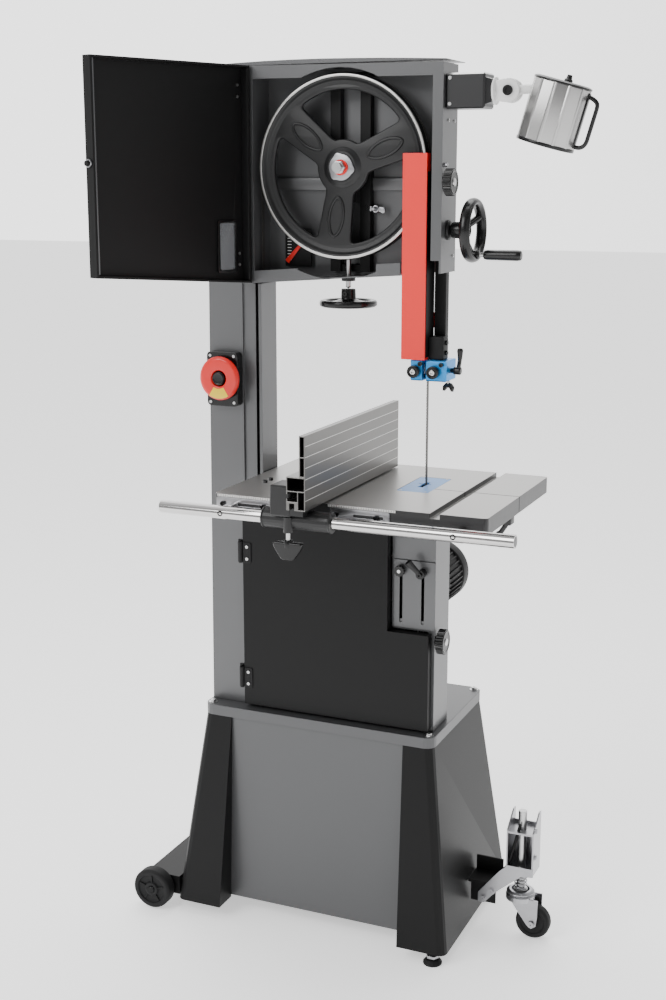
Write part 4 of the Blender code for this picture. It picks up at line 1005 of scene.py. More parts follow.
@dataclass
class UpperCase:
    """Fittings in and on the upper case: stiffener, tension scale, wing nut, screws and lamp bolts."""

    stiffener_z: tuple[float, float] = (1564.0, 1588.0)

    def build(self) -> None:
        """Make the fittings."""
        lo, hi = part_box("upper_case")
        back = (hi.y - TEETH.y) / MM - 3.0
        left, right = (lo.x - TEETH.x) / MM + 4, (hi.x - TEETH.x) / MM - 4
        z0, z1 = self.stiffener_z
        bars = [block_mesh(at(a, back - 9, z0), at(b, back - GAP / MM, z1), 1.2)
                for a, b in ((left, -223.0), (-199.5, -158.5), (-135.5, right))]
        finish_mesh(joined(*bars), "back_stiffener", Looks.GREY_PAINT, "frame")
        self.tension_scale(back)
        self.wing_nut(back)
        self.right_side(right + 4)
        self.back_screws((hi.y - TEETH.y) / MM)

    def tension_scale(self, back: float) -> None:
        """Black scale plate with white marks and the red pointer."""
        plate = block_mesh(at(-326, back - 12, 1412), at(-268, back - 9.5, 1488), 0.8)
        finish_mesh(plate, "tension_scale", Looks.CASE_BLACK, "frame")
        mark = block_mesh(Vector((-0.0042, -0.0006, -0.0003)), Vector((0.0042, 0.0002, -0.0003 + 0.0014)),
                          0.1, 1)
        spots = [Spot(at(-316, back - 12.4, 1424 + 6.2 * k), Z) for k in range(9)]
        finish_mesh(repeated(mark, Looks.WHITE, spots), "scale_marks", Looks.WHITE, "frame")
        pointer = plate_mesh([(-4, -5), (62, -2.2), (66, 0), (62, 2.2), (-4, 5)], 2.0,
                             Matrix.Translation(at(-318, back - 15, 1424))
                             @ Matrix.Rotation(math.radians(-48), 4, "Y") @ Matrix.Rotation(math.pi / 2, 4,
                                                                                            "X"), 0.3)
        finish_mesh(pointer, "tension_pointer", Looks.RED, "frame")

    def wing_nut(self, back: float) -> None:
        """Wing nut and stud that lock the tracking."""
        place = at(-126, back - 10, 1528)
        stud = lathe_mesh([(0, -8), (4, -8), (4, 18), (3, 19), (0, 19)], place, -Y, 24)
        hub = lathe_mesh(rounded([(4.3, 0), (9, 0), (7, 8), (4.3, 8)], 0.8, 2), place, -Y, 32)
        wing = rounded([(6, -4), (17, -9), (22, -5), (20, 3), (8, 5)], 2.5, 4)
        wings = [plate_mesh([(s * u, s * v) for u, v in wing], 4.0, facing(place - Y * 7 * MM, -Y), 1.0)
                 for s in (1, -1)]
        finish_mesh(joined(stud, hub, *wings), "tracking_wing_nut", Looks.ZINC, "frame")

    def right_side(self, wall: float) -> None:
        """Screws on the case's right wall and at the lamp's foot."""
        spots = [Spot(at(wall, y, 1694), X) for y in (6, 40)] + [Spot(at(wall, 44, 1440), X)]
        PAN_SCREW.put("case_side_screws", "frame", spots)
        y, z = 15.7, 1490.0
        boss = lathe_mesh(rounded([(9, 0.3), (19, 0.3), (19, 4), (15, 6), (9, 6)], 1.0, 2), at(wall, y, z), X,
                          48)
        finish_mesh(boss, "handwheel_boss", Looks.CASTING, "frame")
        stud = lathe_mesh([(0, 0), (4, 0), (4, 6), (3, 7), (0, 7)], at(wall, -13, 1612), X, 24)
        finish_mesh(stud, "catch_stud", Looks.ZINC, "frame")

    @staticmethod
    def back_screws(back: float) -> None:
        """Screws in the back of the case."""
        spots = [Spot(at(x, back, z), Y) for x in (-340, -60, 10) for z in (1430, 1500, 1700, 1770)]
        PAN_SCREW.put("case_back_screws", "frame", spots)


@dataclass
class UpperDoor:
    """The open upper door's lining strip, window, rivets and catch, worked out shut and swung open."""

    swing: float = math.radians(-107.0)

    def build(self) -> None:
        """Make the door's fittings."""
        hinge = joint_at("upper_door_hinge")
        self.open = (Matrix.Translation(hinge) @ Matrix.Rotation(self.swing, 4, "Z")
                     @ Matrix.Translation(-hinge))
        self.put(plate_mesh(rounded([(-25, -50), (25, -50), (25, 50), (-25, 50)], 6, 4), 2.0,
                            facing(at(-316, -42.6, 1455), -Y), 0.4), "sight_window", Looks.WINDOW)
        frame_bar = plate_mesh(rounded([(-27, -52), (27, -52), (27, 52), (-27, 52)], 6, 4), 1.6,
                               facing(at(-316, -41.0, 1455), -Y), 0.3,
                               [rounded([(-21, -46), (21, -46), (21, 46), (-21, 46)], 5, 4)])
        self.put(frame_bar, "window_frame", Looks.PLASTIC)
        self.put(block_mesh(at(26, -43.8, 1416), at(29.4, -27, 1794), 0.8), "door_edge_strip",
                 Looks.STAND_GREY)
        self.put(block_mesh(at(-364.6, -43.8, 1388), at(-361.6, -26.4, 1797), 0.6), "hinge_strip",
                 Looks.CASE_BLACK)
        spots = [Spot(self.open @ at(-352, -43.9, z), self.open.to_3x3() @ Y)
                 for z in (1418, 1440, 1744, 1766)]
        RIVET.put("door_rivets", "upper_door", spots)
        stud = lathe_mesh(rounded([(5.3, 0), (7.5, 0), (7.5, 4), (5.3, 4)], 0.6, 2), at(35.3, -36, 1613), X,
                          32)
        self.put(stud, "door_stud_collar", Looks.ZINC)
        bars = [tube_mesh([self.at_shut(-366.4, -47.0, z - 26), self.at_shut(-366.4, -47.0, z + 26)], 3.4)
                for z in (1430, 1755)]
        finish_mesh(joined(*bars), "door_hinge_barrels", Looks.CASE_BLACK, "upper_door")

    def at_shut(self, x: float, y: float, z: float) -> Vector:
        """A place given on the shut door, where it is on the open one."""
        return self.open @ at(x, y, z)

    def put(self, mesh: bpy.types.Mesh, name: str, look: Looks) -> None:
        """Swing a mesh made on the shut door to the open one."""
        mesh.transform(self.open)
        finish_mesh(mesh, name, look, "upper_door")


@dataclass
class LatchKnob:
    """Fluted knob on a bright stem that catches a door."""

    node: str

    def build(self) -> None:
        """Make the knob in place of its plain CAD solid."""
        lo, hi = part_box(self.node)
        centre = (lo + hi) / 2
        place = Vector((lo.x, centre.y, centre.z))
        grip = grown_mesh(FLUTES, Looks.PLASTIC, {"Radius": 24.6 * MM, "Length": 15 * MM, "Flutes": 26.0,
                                                  "Depth": 1.1 * MM, "Steps": 208})
        grip.transform(facing(place + X * 14.5 * MM, X))
        cap = lathe_mesh(rounded([(0, 21.5), (17, 21.5), (22, 23.4), (23.5, 21.8), (23.5, 15), (0, 15)], 1.0,
                                 3,
                                 closed=False), place, X, 96)
        neck = lathe_mesh(rounded([(0, 7.5), (20, 7.5), (11, 3), (11, 0.4), (0, 0.4)], 1.2, 3, closed=False),
                          place,
                          X, 64)
        finish_mesh(joined(grip, cap, neck), self.node + "_grip", Looks.PLASTIC, self.node, 30, (self.node,))
        button = lathe_mesh(rounded([(0, 23.9), (7, 23.9), (8, 22.8), (8, 21), (0, 21)], 0.5, 2,
                                    closed=False), place,
                            X, 32)
        finish_mesh(button, self.node + "_button", Looks.STEEL, self.node)


@dataclass
class LowerCabinet:
    """Hinges of the lower door, cover knobs and back fittings."""

    hinge_z: tuple[float, float] = (820.0, 544.0)

    def build(self) -> None:
        """Make the cabinet's fittings."""
        for i, z in enumerate(self.hinge_z):
            self.hinge(i, z)
        knob = at(-38, -27.7, 815)
        grip = grown_mesh(FLUTES, Looks.PLASTIC, {"Radius": 10.5 * MM, "Length": 9 * MM, "Flutes": 12.0,
                                                  "Depth": 0.8 * MM, "Steps": 144})
        grip.transform(facing(knob - Y * 9 * MM, -Y))
        neck = lathe_mesh([(0, 0), (7, 0), (6, 5), (0, 5)], knob, -Y, 32)
        finish_mesh(joined(grip, neck), "cover_knob", Looks.PLASTIC, "frame", 30)
        finish_mesh(lathe_mesh([(0, 13.2), (3.5, 13.2), (3.5, 14.4), (0, 14.4)], knob, -Y, 24),
                    "cover_knob_screw",
                    Looks.STEEL, "frame")
        spots = [Spot(at(9, -47.3, 814), -Y)]
        SOCKET_SCREW.put("cover_lever_screw", "cover_lever", spots)
        back = (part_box("lower_case")[1].y - TEETH.y) / MM - 42
        spots = [Spot(at(-300 + 55 * math.cos(a), back + 1, 545 + 55 * math.sin(a)), Y)
                 for a in (math.radians(45 + 90 * k) for k in range(4))]
        PAN_SCREW.put("dust_port_screws", "frame", spots)
        clamp = lathe_mesh(rounded([(50.3, 30), (52, 30), (52, 40), (50.3, 40)], 0.5, 2), at(-300, back, 545),
                           Y, 96)
        finish_mesh(clamp, "dust_port_band", Looks.ZINC, "frame")
        spots = [Spot(at(-178 + 40 * math.cos(a), back + 7, 706 + 40 * math.sin(a)), Y)
                 for a in (math.radians(30 + 90 * k) for k in range(4))]
        Screws(5.5, 5.0, sides=6, washer=8.0, socket=0.3).put("housing_bolts", "frame", spots)

    def hinge(self, number: int, z: float) -> None:
        """One black butt hinge: leaf on the door, leaf on the column and the pin between them."""
        door_face = (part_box("lower_door")[0].y - TEETH.y) / MM
        column_face = (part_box("column")[0].y - TEETH.y) / MM
        leaf = rounded([(0, -22), (19, -22), (19, 22), (0, 22)], 3.0, 3)
        door_leaf = plate_mesh(leaf, 2.0, facing(at(-386, door_face - 1.2, z), -Y), 0.4)
        finish_mesh(door_leaf, f"hinge_{number}_door_leaf", Looks.CASE_BLACK, "lower_door")
        flat = block_mesh(at(-407, column_face - 2.4, z - 22), at(-396, column_face - 0.2, z + 22), 0.5)
        leg = block_mesh(at(-398.4, door_face, z - 22), at(-396, column_face - 0.2, z + 22), 0.5)
        finish_mesh(joined(flat, leg), f"hinge_{number}_frame_leaf", Looks.CASE_BLACK, "frame")
        pin = tube_mesh([at(-391, door_face - 2, z - 22), at(-391, door_face - 2, z + 22)], 4.4)
        finish_mesh(pin, f"hinge_{number}_pin", Looks.CASE_BLACK, "lower_door")
        PAN_SCREW.put(f"hinge_{number}_door_screws", "lower_door",
                      [Spot(at(-376, door_face - 2.1, z + d), -Y) for d in (-13, 13)])
        PAN_SCREW.put(f"hinge_{number}_frame_screws", "frame",
                      [Spot(at(-403, column_face - 2.4, z + d), -Y) for d in (-13, 13)])


# ---------------------------------------------------------------- blade and guides

@dataclass
class ToothedBlade:
    """Endless steel band with its teeth, round both wheels."""

    pitch: float = 6.0
    gullet: float = 3.0
    thickness: float = 0.9

    def build(self) -> None:
        """Sweep the band and stand a tooth on each point of its front edge."""
        lo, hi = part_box("blade")
        radius = (hi.x - lo.x) / 2 / MM - self.thickness / 2
        centre_x = (lo.x + hi.x) / 2
        upper = hi.z - (hi.x - lo.x) / 2
        lower = lo.z + (hi.x - lo.x) / 2
        straight = (upper - lower) / MM
        total = 2 * straight + 2 * math.pi * radius
        count = round(total / self.pitch)

        def along(distance: float) -> tuple[Vector, Vector, Vector]:
            """Place, direction and outward normal of the band at a distance along it."""
            d = distance % total
            if d < straight:
                return Vector((centre_x + radius * MM, 0, lower + d * MM)), Z.copy(), X.copy()
            d -= straight
            if d < math.pi * radius:
                t = d / radius
                out = Vector((math.cos(t), 0, math.sin(t)))
                return Vector((centre_x, 0, upper)) + out * radius * MM, Vector((-out.z, 0, out.x)), out
            d -= math.pi * radius
            if d < straight:
                return Vector((centre_x - radius * MM, 0, upper - d * MM)), -Z, -X
            t = math.pi + (d - straight) / radius
            out = Vector((math.cos(t), 0, math.sin(t)))
            return Vector((centre_x, 0, lower)) + out * radius * MM, Vector((-out.z, 0, out.x)), out

        bm = bmesh.new()
        rings = []
        for k in range(count):
            place, _, out = along(total * k / count)
            corners = []
            for y in (lo.y + self.gullet * MM, hi.y):
                for side in (-0.5, 0.5):
                    corners.append(bm.verts.new(Vector((place.x, y,
                                                        place.z)) + out * side * self.thickness * MM))
            rings.append(corners)
        for low, high in zip(rings, rings[1:] + rings[:1]):
            for a, b in ((0, 1), (1, 3), (3, 2), (2, 0)):
                bm.faces.new((low[a], low[b], high[b], high[a]))
        mesh = bpy.data.meshes.new("band")
        bm.to_mesh(mesh)
        bm.free()
        tooth = self.tooth()
        spots = []
        for k in range(count):
            place, _, out = along(self.pitch / 2 + total * k / count)
            spots.append(Spot(Vector((place.x, lo.y + self.gullet * MM, place.z)), out, -Y))
        teeth = repeated(tooth, Looks.BLADE_STEEL, spots)
        finish_mesh(joined(mesh, teeth), "blade_band", Looks.BLADE_STEEL, "frame", 30, ("blade",))

    def tooth(self) -> bpy.types.Mesh:
        """A hooked tooth: local x is forward, local y along the band, local z its thickness."""
        half = self.pitch / 2
        outline = [(-0.3, -half), (0.0, -half), (self.gullet, half * 0.75), (self.gullet * 0.45, half * 0.55),
                   (0.0, half * 0.1), (0.0, half), (-0.3, half)]
        bm = bmesh.new()
        layers = [[bm.verts.new(Vector((u, v, w)) * MM) for u, v in outline]
                  for w in (-self.thickness / 2, self.thickness / 2)]
        bm.faces.new(layers[0][::-1])
        bm.faces.new(layers[1])
        for i in range(len(outline)):
            j = (i + 1) % len(outline)
            bm.faces.new((layers[0][i], layers[0][j], layers[1][j], layers[1][i]))
        mesh = bpy.data.meshes.new("tooth")
        bm.to_mesh(mesh)
        bm.free()
        return mesh


@dataclass
class GuideHead:
    """Bearings, clamp lever, knob and screws of the upper blade guides."""

    def build(self) -> None:
        """Make the guide head's fittings."""
        lo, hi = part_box("guide_block")
        face = (lo.y - TEETH.y) / MM
        middle = (lo.z + hi.z) / 2 / MM
        for label, x in (("left", -19.5), ("right", 20.5)):
            place = at(x, face, middle - 2)
            disc = lathe_mesh(rounded([(4, 1), (12.5, 1), (12.5, 11), (9, 11.6), (9, 10), (4, 10)], 0.9, 3),
                              place, -Y,
                              64)
            finish_mesh(disc, f"guide_disc_{label}", Looks.PLASTIC, "guide_post")
            hub = lathe_mesh(rounded([(0, 0), (5.4, 0), (5.4, 12.6), (2.6, 12.6), (2.6, 10.6), (0, 10.6)],
                                     0.4, 2,
                                     closed=False), place, -Y, 32)
            finish_mesh(hub, f"guide_disc_{label}_screw", Looks.CHROME, "guide_post")
        SOCKET_SCREW.put("guide_block_screws", "guide_post",
                         [Spot(at(x, face, middle + 13), -Y) for x in (-7.5, 36)])
        strip = block_mesh(at(4.1, -20, middle + 26), at(5.3, 25.7, middle + 380), 0.4)
        finish_mesh(strip, "guard_back_strip", Looks.BLACK_PAINT, "guide_post")
        bracket = block_mesh(at(5.6, -4, middle + 21.4), at(36, 25.5, middle + 66), 1.5)
        finish_mesh(bracket, "post_clamp", Looks.CASE_BLACK, "guide_post")
        SOCKET_SCREW.put("post_clamp_screws", "guide_post",
                         [Spot(at(36, 10, middle + z), X) for z in (34, 54)])
        self.lever()
        self.wing_screw(middle)
        stem = tube_mesh([at(44, 8, middle - 20.3), at(44, 8, middle - 26)], 3.0)
        finish_mesh(stem, "wing_screw_stem", Looks.STEEL, "guide_post")

    def lever(self) -> None:
        """Ribbed clamp lever in place of its plain CAD solid."""
        lo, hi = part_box("guide_lever")
        hinge = joint_at("guide_lever_turn")
        hub = lathe_mesh(rounded([(0, 0.3), (5, 0.3), (5, 5), (7.5, 6.5), (8, 19), (6.5, 21), (0, 21)], 0.9,
                                 3,
                                 closed=False), hinge, X, 48)
        top = Vector((hi.x - 6 * MM, lo.y + 6 * MM, hi.z - 6 * MM))
        arm = tube_mesh([hinge + X * 15 * MM, hinge + X * 15 * MM + Vector((2, -2, 12)) * MM,
                         top - Z * 16 * MM, top - Z * 4 * MM], 4.2, corner=8)
        end = lathe_mesh(rounded([(0, -16), (4.4, -16), (6.2, 2), (4.2, 5.5), (0, 5.5)], 2.0, 3,
                                 closed=False), top, Z,
                         32)
        finish_mesh(joined(hub, arm, end), "guide_clamp_lever", Looks.PLASTIC, "guide_lever", 45,
                    ("guide_lever",))

    @staticmethod
    def wing_screw(middle: float) -> None:
        """Small wing screw under the block."""
        outline = rounded([(-11, -10), (-4, -2), (4, -2), (11, -10), (13, 0), (5, 8), (-5, 8), (-13, 0)], 2.5,
                          3)
        turn = facing(at(44, 8, middle - 32), Vector((-0.35, -0.9, 0.2)))
        finish_mesh(plate_mesh(outline, 8.0, turn, 1.2), "guide_wing_screw", Looks.PLASTIC, "guide_post")


# ---------------------------------------------------------------- handwheels

@dataclass
class RisingHandwheel:
    """Dished handwheel with a round rim and three spokes, and its crank handle."""

    rim: float = 53.5
    grip: float = 8.5

    def build(self) -> None:
        """Make the handwheel and the handle."""
        hub_at = joint_at("guide_handwheel_turn")
        case = Vector((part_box("upper_case")[1].x, hub_at.y, hub_at.z))
        section = [(self.rim + self.grip * math.cos(t) * 0.92, 50.0 + self.grip * 1.25 * math.sin(t))
                   for t in (2 * math.pi * k / 20 for k in range(20))]
        rim = lathe_mesh(section, case, X, 96)
        hub = lathe_mesh(rounded([(0, -24), (10, -24), (10, 8), (15, 9), (17, 30), (14, 42), (9, 44), (9, 40),
                                  (0, 40)],
                                 1.6, 3, closed=False), case, X, 64)
        spokes = []
        for k in range(3):
            way = Matrix.Rotation(math.radians(-90 + 120 * k), 3, "X") @ Y
            way.normalize()
            spokes.append(tube_mesh([case + X * 30 * MM + way * 12 * MM, case + X * 37 * MM + way * 24 * MM,
                                     case + X * 47 * MM + way * 44 * MM, case + X * 49 * MM + way * 50 * MM],
                                    7.0,
                                    corner=10))
        boss = lathe_mesh(rounded([(0, 50), (9, 50), (9, 62), (7, 64), (0, 64)], 1.0, 3, closed=False),
                          case - Z * 46 * MM, X, 32)
        finish_mesh(joined(rim, hub, boss, *spokes), "rising_handwheel", Looks.PLASTIC, "guide_handwheel", 50,
                    ("guide_handwheel",))
        lo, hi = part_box("crank_handle")
        start = Vector((lo.x, (lo.y + hi.y) / 2, (lo.z + hi.z) / 2))
        length = (hi.x - lo.x) / MM
        grip = lathe_mesh(rounded([(0, 4), (8.2, 4), (9.6, 10), (10.4, length - 8), (9, length - 0.3),
                                   (0, length - 0.3)],
                                  1.6, 3, closed=False), start, X, 48)
        finish_mesh(grip, "crank_grip", Looks.PLASTIC, "crank_handle", 40, ("crank_handle",))
        finish_mesh(lathe_mesh([(0, -3), (4.6, -3), (4.6, 4.2), (0, 4.2)], start, X, 24), "crank_pin",
                    Looks.STEEL,
                    "guide_handwheel")


@dataclass
class TensionHandwheel:
    """Flat handwheel under the upper case, on the tension screw."""

    def build(self) -> None:
        """Make the handwheel in place of its CAD solid."""
        lo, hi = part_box("tension_handwheel")
        axis = joint_at("tension_screw")
        foot = Vector((axis.x, axis.y, lo.z + 7 * MM))
        profile = rounded([(0, 30), (14.5, 30), (15.5, 9), (30, 4.5), (44, 2.5), (46.5, 7), (55, 7.6),
                           (58.4, 4),
                           (58.4, -3.5), (54, -6.8), (46, -6.2), (42, -3), (18, -4.6), (0, -4.6)], 2.2, 4,
                          closed=False)
        finish_mesh(lathe_mesh(profile, foot, Z, 96), "tension_wheel", Looks.PLASTIC, "tension_handwheel", 45,
                    ("tension_handwheel",))
        thread = [(0.0, 30.0)]
        top = (hi.z - foot.z) / MM
        turns = 40
        for k in range(turns):
            h = 33 + (top - 34) * k / turns
            thread += [(5.3, h), (6.0, h + (top - 34) / turns / 2)]
        thread += [(5.3, top - 0.4), (0.0, top - 0.4)]
        finish_mesh(lathe_mesh(thread, foot, Z, 28), "tension_screw_rod", Looks.STEEL, "tension_handwheel",
                    60)
        SOCKET_SCREW.put("tension_wheel_screw", "tension_handwheel",
                         [Spot(foot + Vector((0, -14.6, 20)) * MM, -Y)])
        nut = lathe_mesh(rounded([(8.6, 0), (14, 0), (14, 7), (8.6, 7)], 1.0, 2),
                         Vector((axis.x, axis.y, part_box("upper_case")[0].z + 6 * MM)), Z, 40)
        finish_mesh(nut, "tension_bearing", Looks.CASTING, "frame")


# ---------------------------------------------------------------- table, rail and fence

@dataclass
class TableFittings:
    """Scale brackets, rail caps and screws, insert screws and the levelling pin."""

    def build(self) -> None:
        """Make the table's fittings."""
        lo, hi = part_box("table")
        front = (lo.y - TEETH.y) / MM
        for label, x0, x1 in (("left", -341, -214), ("right", -100, 19)):
            slot = rounded([(-0.5 * (x1 - x0) + 46, -3), (0.5 * (x1 - x0) - 12, -3),
                            (0.5 * (x1 - x0) - 12, 3),
                            (-0.5 * (x1 - x0) + 46, 3)], 2.8, 4)
            bar = plate_mesh(rounded([(-0.5 * (x1 - x0), -12), (0.5 * (x1 - x0), -12), (0.5 * (x1 - x0), 12),
                                      (-0.5 * (x1 - x0), 12)], 3, 3), 2.2,
                             facing(at((x0 + x1) / 2, front - 1.4, 972), -Y), 0.4, [slot])
            finish_mesh(bar, f"scale_bracket_{label}", Looks.ZINC, "table")
            SOCKET_SCREW.put(f"scale_bracket_{label}_screws", "table",
                             [Spot(at(x, front - 2.5, 972), -Y) for x in (x0 + 14, x1 - 26)])
        rail_lo, rail_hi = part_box("front_rail")
        rail_y = rail_lo.y + (rail_hi.z - rail_lo.z) / 2
        rail_z = (rail_lo.z + rail_hi.z) / 2
        for label, x, way in (("left", rail_lo.x, X), ("right", rail_hi.x, -X)):
            cap = lathe_mesh(rounded([(0, 0.2), (11.6, 0.2), (12.2, 0.9), (12.2, 1.6), (9.7, 1.6), (9.7, 12),
                                      (0, 12)],
                                     0.4, 2, closed=False), Vector((x, rail_y, rail_z)), way, 48)
            finish_mesh(cap, f"rail_cap_{label}", Looks.PLASTIC, "table")
        spots = [Spot(Vector((at(x, 0, 0).x, rail_lo.y + 1.3 * MM, rail_z)), -Y) for x in (-305, 161)]
        # Rail screws: real screw heads, made near-black as painted shade of the holes they sit sunk in.
        Screws(5.4, 1.2, socket=0.6, look=Looks.SOCKET).put("rail_screws", "table", spots)
        spots = [Spot(at(x, y, 989.6), Z) for x, y in ((-25, -70), (27, -70), (-25, 60), (27, 60))]
        Screws(2.4, 0.5, socket=0.6).put("insert_screws", "table", spots)
        self.slit_and_tape(lo, hi)
        self.edge_pin(hi)

    @staticmethod
    def slit_and_tape(lo: Vector, hi: Vector) -> None:
        """Painted shadow in the blade slit (near-black blocks), and the two scale tapes along the front edge.
        """
        top = hi.z / MM
        right = (hi.x - TEETH.x) / MM
        # Painted shadow: near-black blocks fill the top of the blade slit, where there is only shade.
        runs = [block_mesh(at(a, -38.6, top - 0.6), at(b, -36.4, top + 0.05), 0.05, 1)
                for a, b in ((34.5, 96.0), (117.5, right - 0.8))]
        finish_mesh(joined(*runs), "blade_slit", Looks.SOCKET, "table")
        front = (lo.y - TEETH.y) / MM
        for label, x0, x1 in (("left", -340.0, -219.0), ("right", -106.0, 30.0)):
            tape = block_mesh(at(x0, front - 0.5, top - 5.5), at(x1, front - GAP / MM * 0.1, top - 0.6), 0.1,
                              1)
            finish_mesh(tape, f"scale_tape_{label}", Looks.FENCE_LINE, "table")
            mark = block_mesh(Vector((-0.0003, -0.0002, -0.0018)), Vector((0.0003, 0.0001, 0.0018)), 0.02, 1)
            count = int((x1 - x0) / 5.0)
            spots = [Spot(at(x0 + 3 + 5.0 * k, front - 0.55, top - 3), Z) for k in range(count)]
            finish_mesh(repeated(mark, Looks.SOCKET, spots), f"scale_marks_{label}", Looks.SOCKET, "table")

    @staticmethod
    def edge_pin(hi: Vector) -> None:
        """Taper pin and lug that keep the table's halves level at its slit."""
        x = (hi.x - TEETH.x) / MM - 22
        lug = block_mesh(at(x - 12, -52, 934), at(x + 10, -26, 957.5), 2.0)
        pin = tube_mesh([at(x - 2, -39, 934), at(x - 16, -39, 912)], 5.0)
        ball = lathe_mesh(rounded([(0, -8), (7, -6), (8, 0), (7, 6), (0, 8)], 2.0, 3, closed=False),
                          at(x - 17, -39, 910), Vector((-14, 0, -22)), 32)
        finish_mesh(joined(lug, pin, ball), "table_pin", Looks.CASTING, "table")


@dataclass
class FenceFittings:
    """Sleeve rings, screws, face lines and fan knob of the rip fence."""

    def build(self) -> None:
        """Make the fence's fittings."""
        lo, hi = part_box("fence_carrier")
        rail_lo, rail_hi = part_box("front_rail")
        place = Vector((lo.x, rail_lo.y + (rail_hi.z - rail_lo.z) / 2, (rail_lo.z + rail_hi.z) / 2))
        for side, x in (("left", lo.x + 2.2 * MM), ("right", hi.x - 2.2 * MM)):
            ring = lathe_mesh(rounded([(12.9, -2), (19.6, -2), (20.4, 0), (19.6, 2), (12.9, 2)], 0.6, 2),
                              Vector((x, place.y, place.z)), X, 64)
            finish_mesh(ring, f"sleeve_ring_{side}", Looks.CASTING, "fence")
        fence_lo, fence_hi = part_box("fence_profile")
        spots = [Spot(Vector((lo.x + 10 * MM, (lo.y + hi.y) / 2 + d * MM, hi.z)), Z) for d in (-12, 12)]
        SOCKET_SCREW.put("carrier_screws", "fence", spots)
        lines = []
        for z in (1012.0, 1032.0, 1052.0, 1073.0, 1093.0, 1113.0):
            lines.append(block_mesh(Vector((fence_hi.x - 0.02 * MM, fence_lo.y + 1 * MM, z * MM)),
                                    Vector((fence_hi.x + 0.12 * MM, fence_hi.y - 1 * MM, (z + 1.1) * MM)),
                                    0.05, 1))
        finish_mesh(joined(*lines), "fence_face_lines", Looks.FENCE_LINE, "fence")
        self.fan_knob()

    @staticmethod
    def fan_knob() -> None:
        """Fan-shaped clamp knob in place of its CAD solid."""
        lo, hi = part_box("fence_knob")
        axis = joint_at("fence_knob_turn")
        half = (hi.x - lo.x) / 2 / MM
        deep = 34.0
        outline = rounded([(-half, 0), (half, 0), (half - 2, -10), (12, -deep), (-12, -deep),
                           (-half + 2, -10)], 5.0, 5)
        base = Vector((axis.x, axis.y, lo.z + deep * MM + 1.5 * MM))
        fan = plate_mesh(outline, 14.0, facing(base, -Y), 2.4)
        neck = lathe_mesh(rounded([(0, -10), (9, -10), (8, 4), (0, 4)], 1.0, 2, closed=False), base, Z, 32)
        finish_mesh(joined(fan, neck), "fence_fan_knob", Looks.PLASTIC, "fence_knob", 45, ("fence_knob",))
        finish_mesh(tube_mesh([base + Z * 3 * MM, Vector((axis.x, axis.y, hi.z - 0.5 * MM))], 4.0),
                    "fence_stem",
                    Looks.STEEL, "fence_knob")


# ---------------------------------------------------------------- switch

@dataclass
class StopSwitch:
    """Round stop paddle with its yellow segment, and the start button in the middle."""

    def build(self) -> None:
        """Make the switch's visible parts."""
        lo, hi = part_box("stop_disc")
        centre = Vector(((lo.x + hi.x) / 2, hi.y, (lo.z + hi.z) / 2))
        r = (hi.x - lo.x) / 2 / MM
        disc = lathe_mesh(rounded([(r - 2, 0.2), (r, 1), (r, 5), (r - 6, 8.9), (18, 8.9), (16, 7), (16, 0.2)],
                                  1.6, 4),
                          centre, -Y, 96)
        finish_mesh(disc, "stop_paddle", Looks.RED_PLASTIC, "stop_disc", 40, ("stop_disc",))
        segment = arc(r - 3.5, -122, -58, 12) + arc(21, -58, -122, 8)
        finish_mesh(plate_mesh(rounded(segment, 0.8, 2), 0.9, facing(centre - Y * 8.7 * MM, -Y), 0.25),
                    "yellow_segment", Looks.YELLOW, "stop_disc")
        b_lo, b_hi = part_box("start_button")
        b = Vector(((b_lo.x + b_hi.x) / 2, b_hi.y, (b_lo.z + b_hi.z) / 2))
        depth = (b_hi.y - b_lo.y) / MM
        button = lathe_mesh(rounded([(0, 0.1), (14, 0.1), (14, depth - 3), (11.5, depth), (10, depth - 1.2),
                                     (0, depth - 1.6)], 1.0, 3, closed=False), b, -Y, 64)
        finish_mesh(button, "start_push", Looks.PLASTIC, "start_button", 40, ("start_button",))
        box_lo, box_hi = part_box("switch_box")
        face = box_lo.y
        spots = [Spot(Vector((x, face, z)), -Y) for x in (box_lo.x + 8 * MM, box_hi.x - 8 * MM)
                 for z in (box_lo.z + 8 * MM, box_hi.z - 8 * MM)]
        Screws(3.0, 1.2, socket=0.5, look=Looks.STEEL).put("switch_screws", "frame", spots)


# ---------------------------------------------------------------- lamp

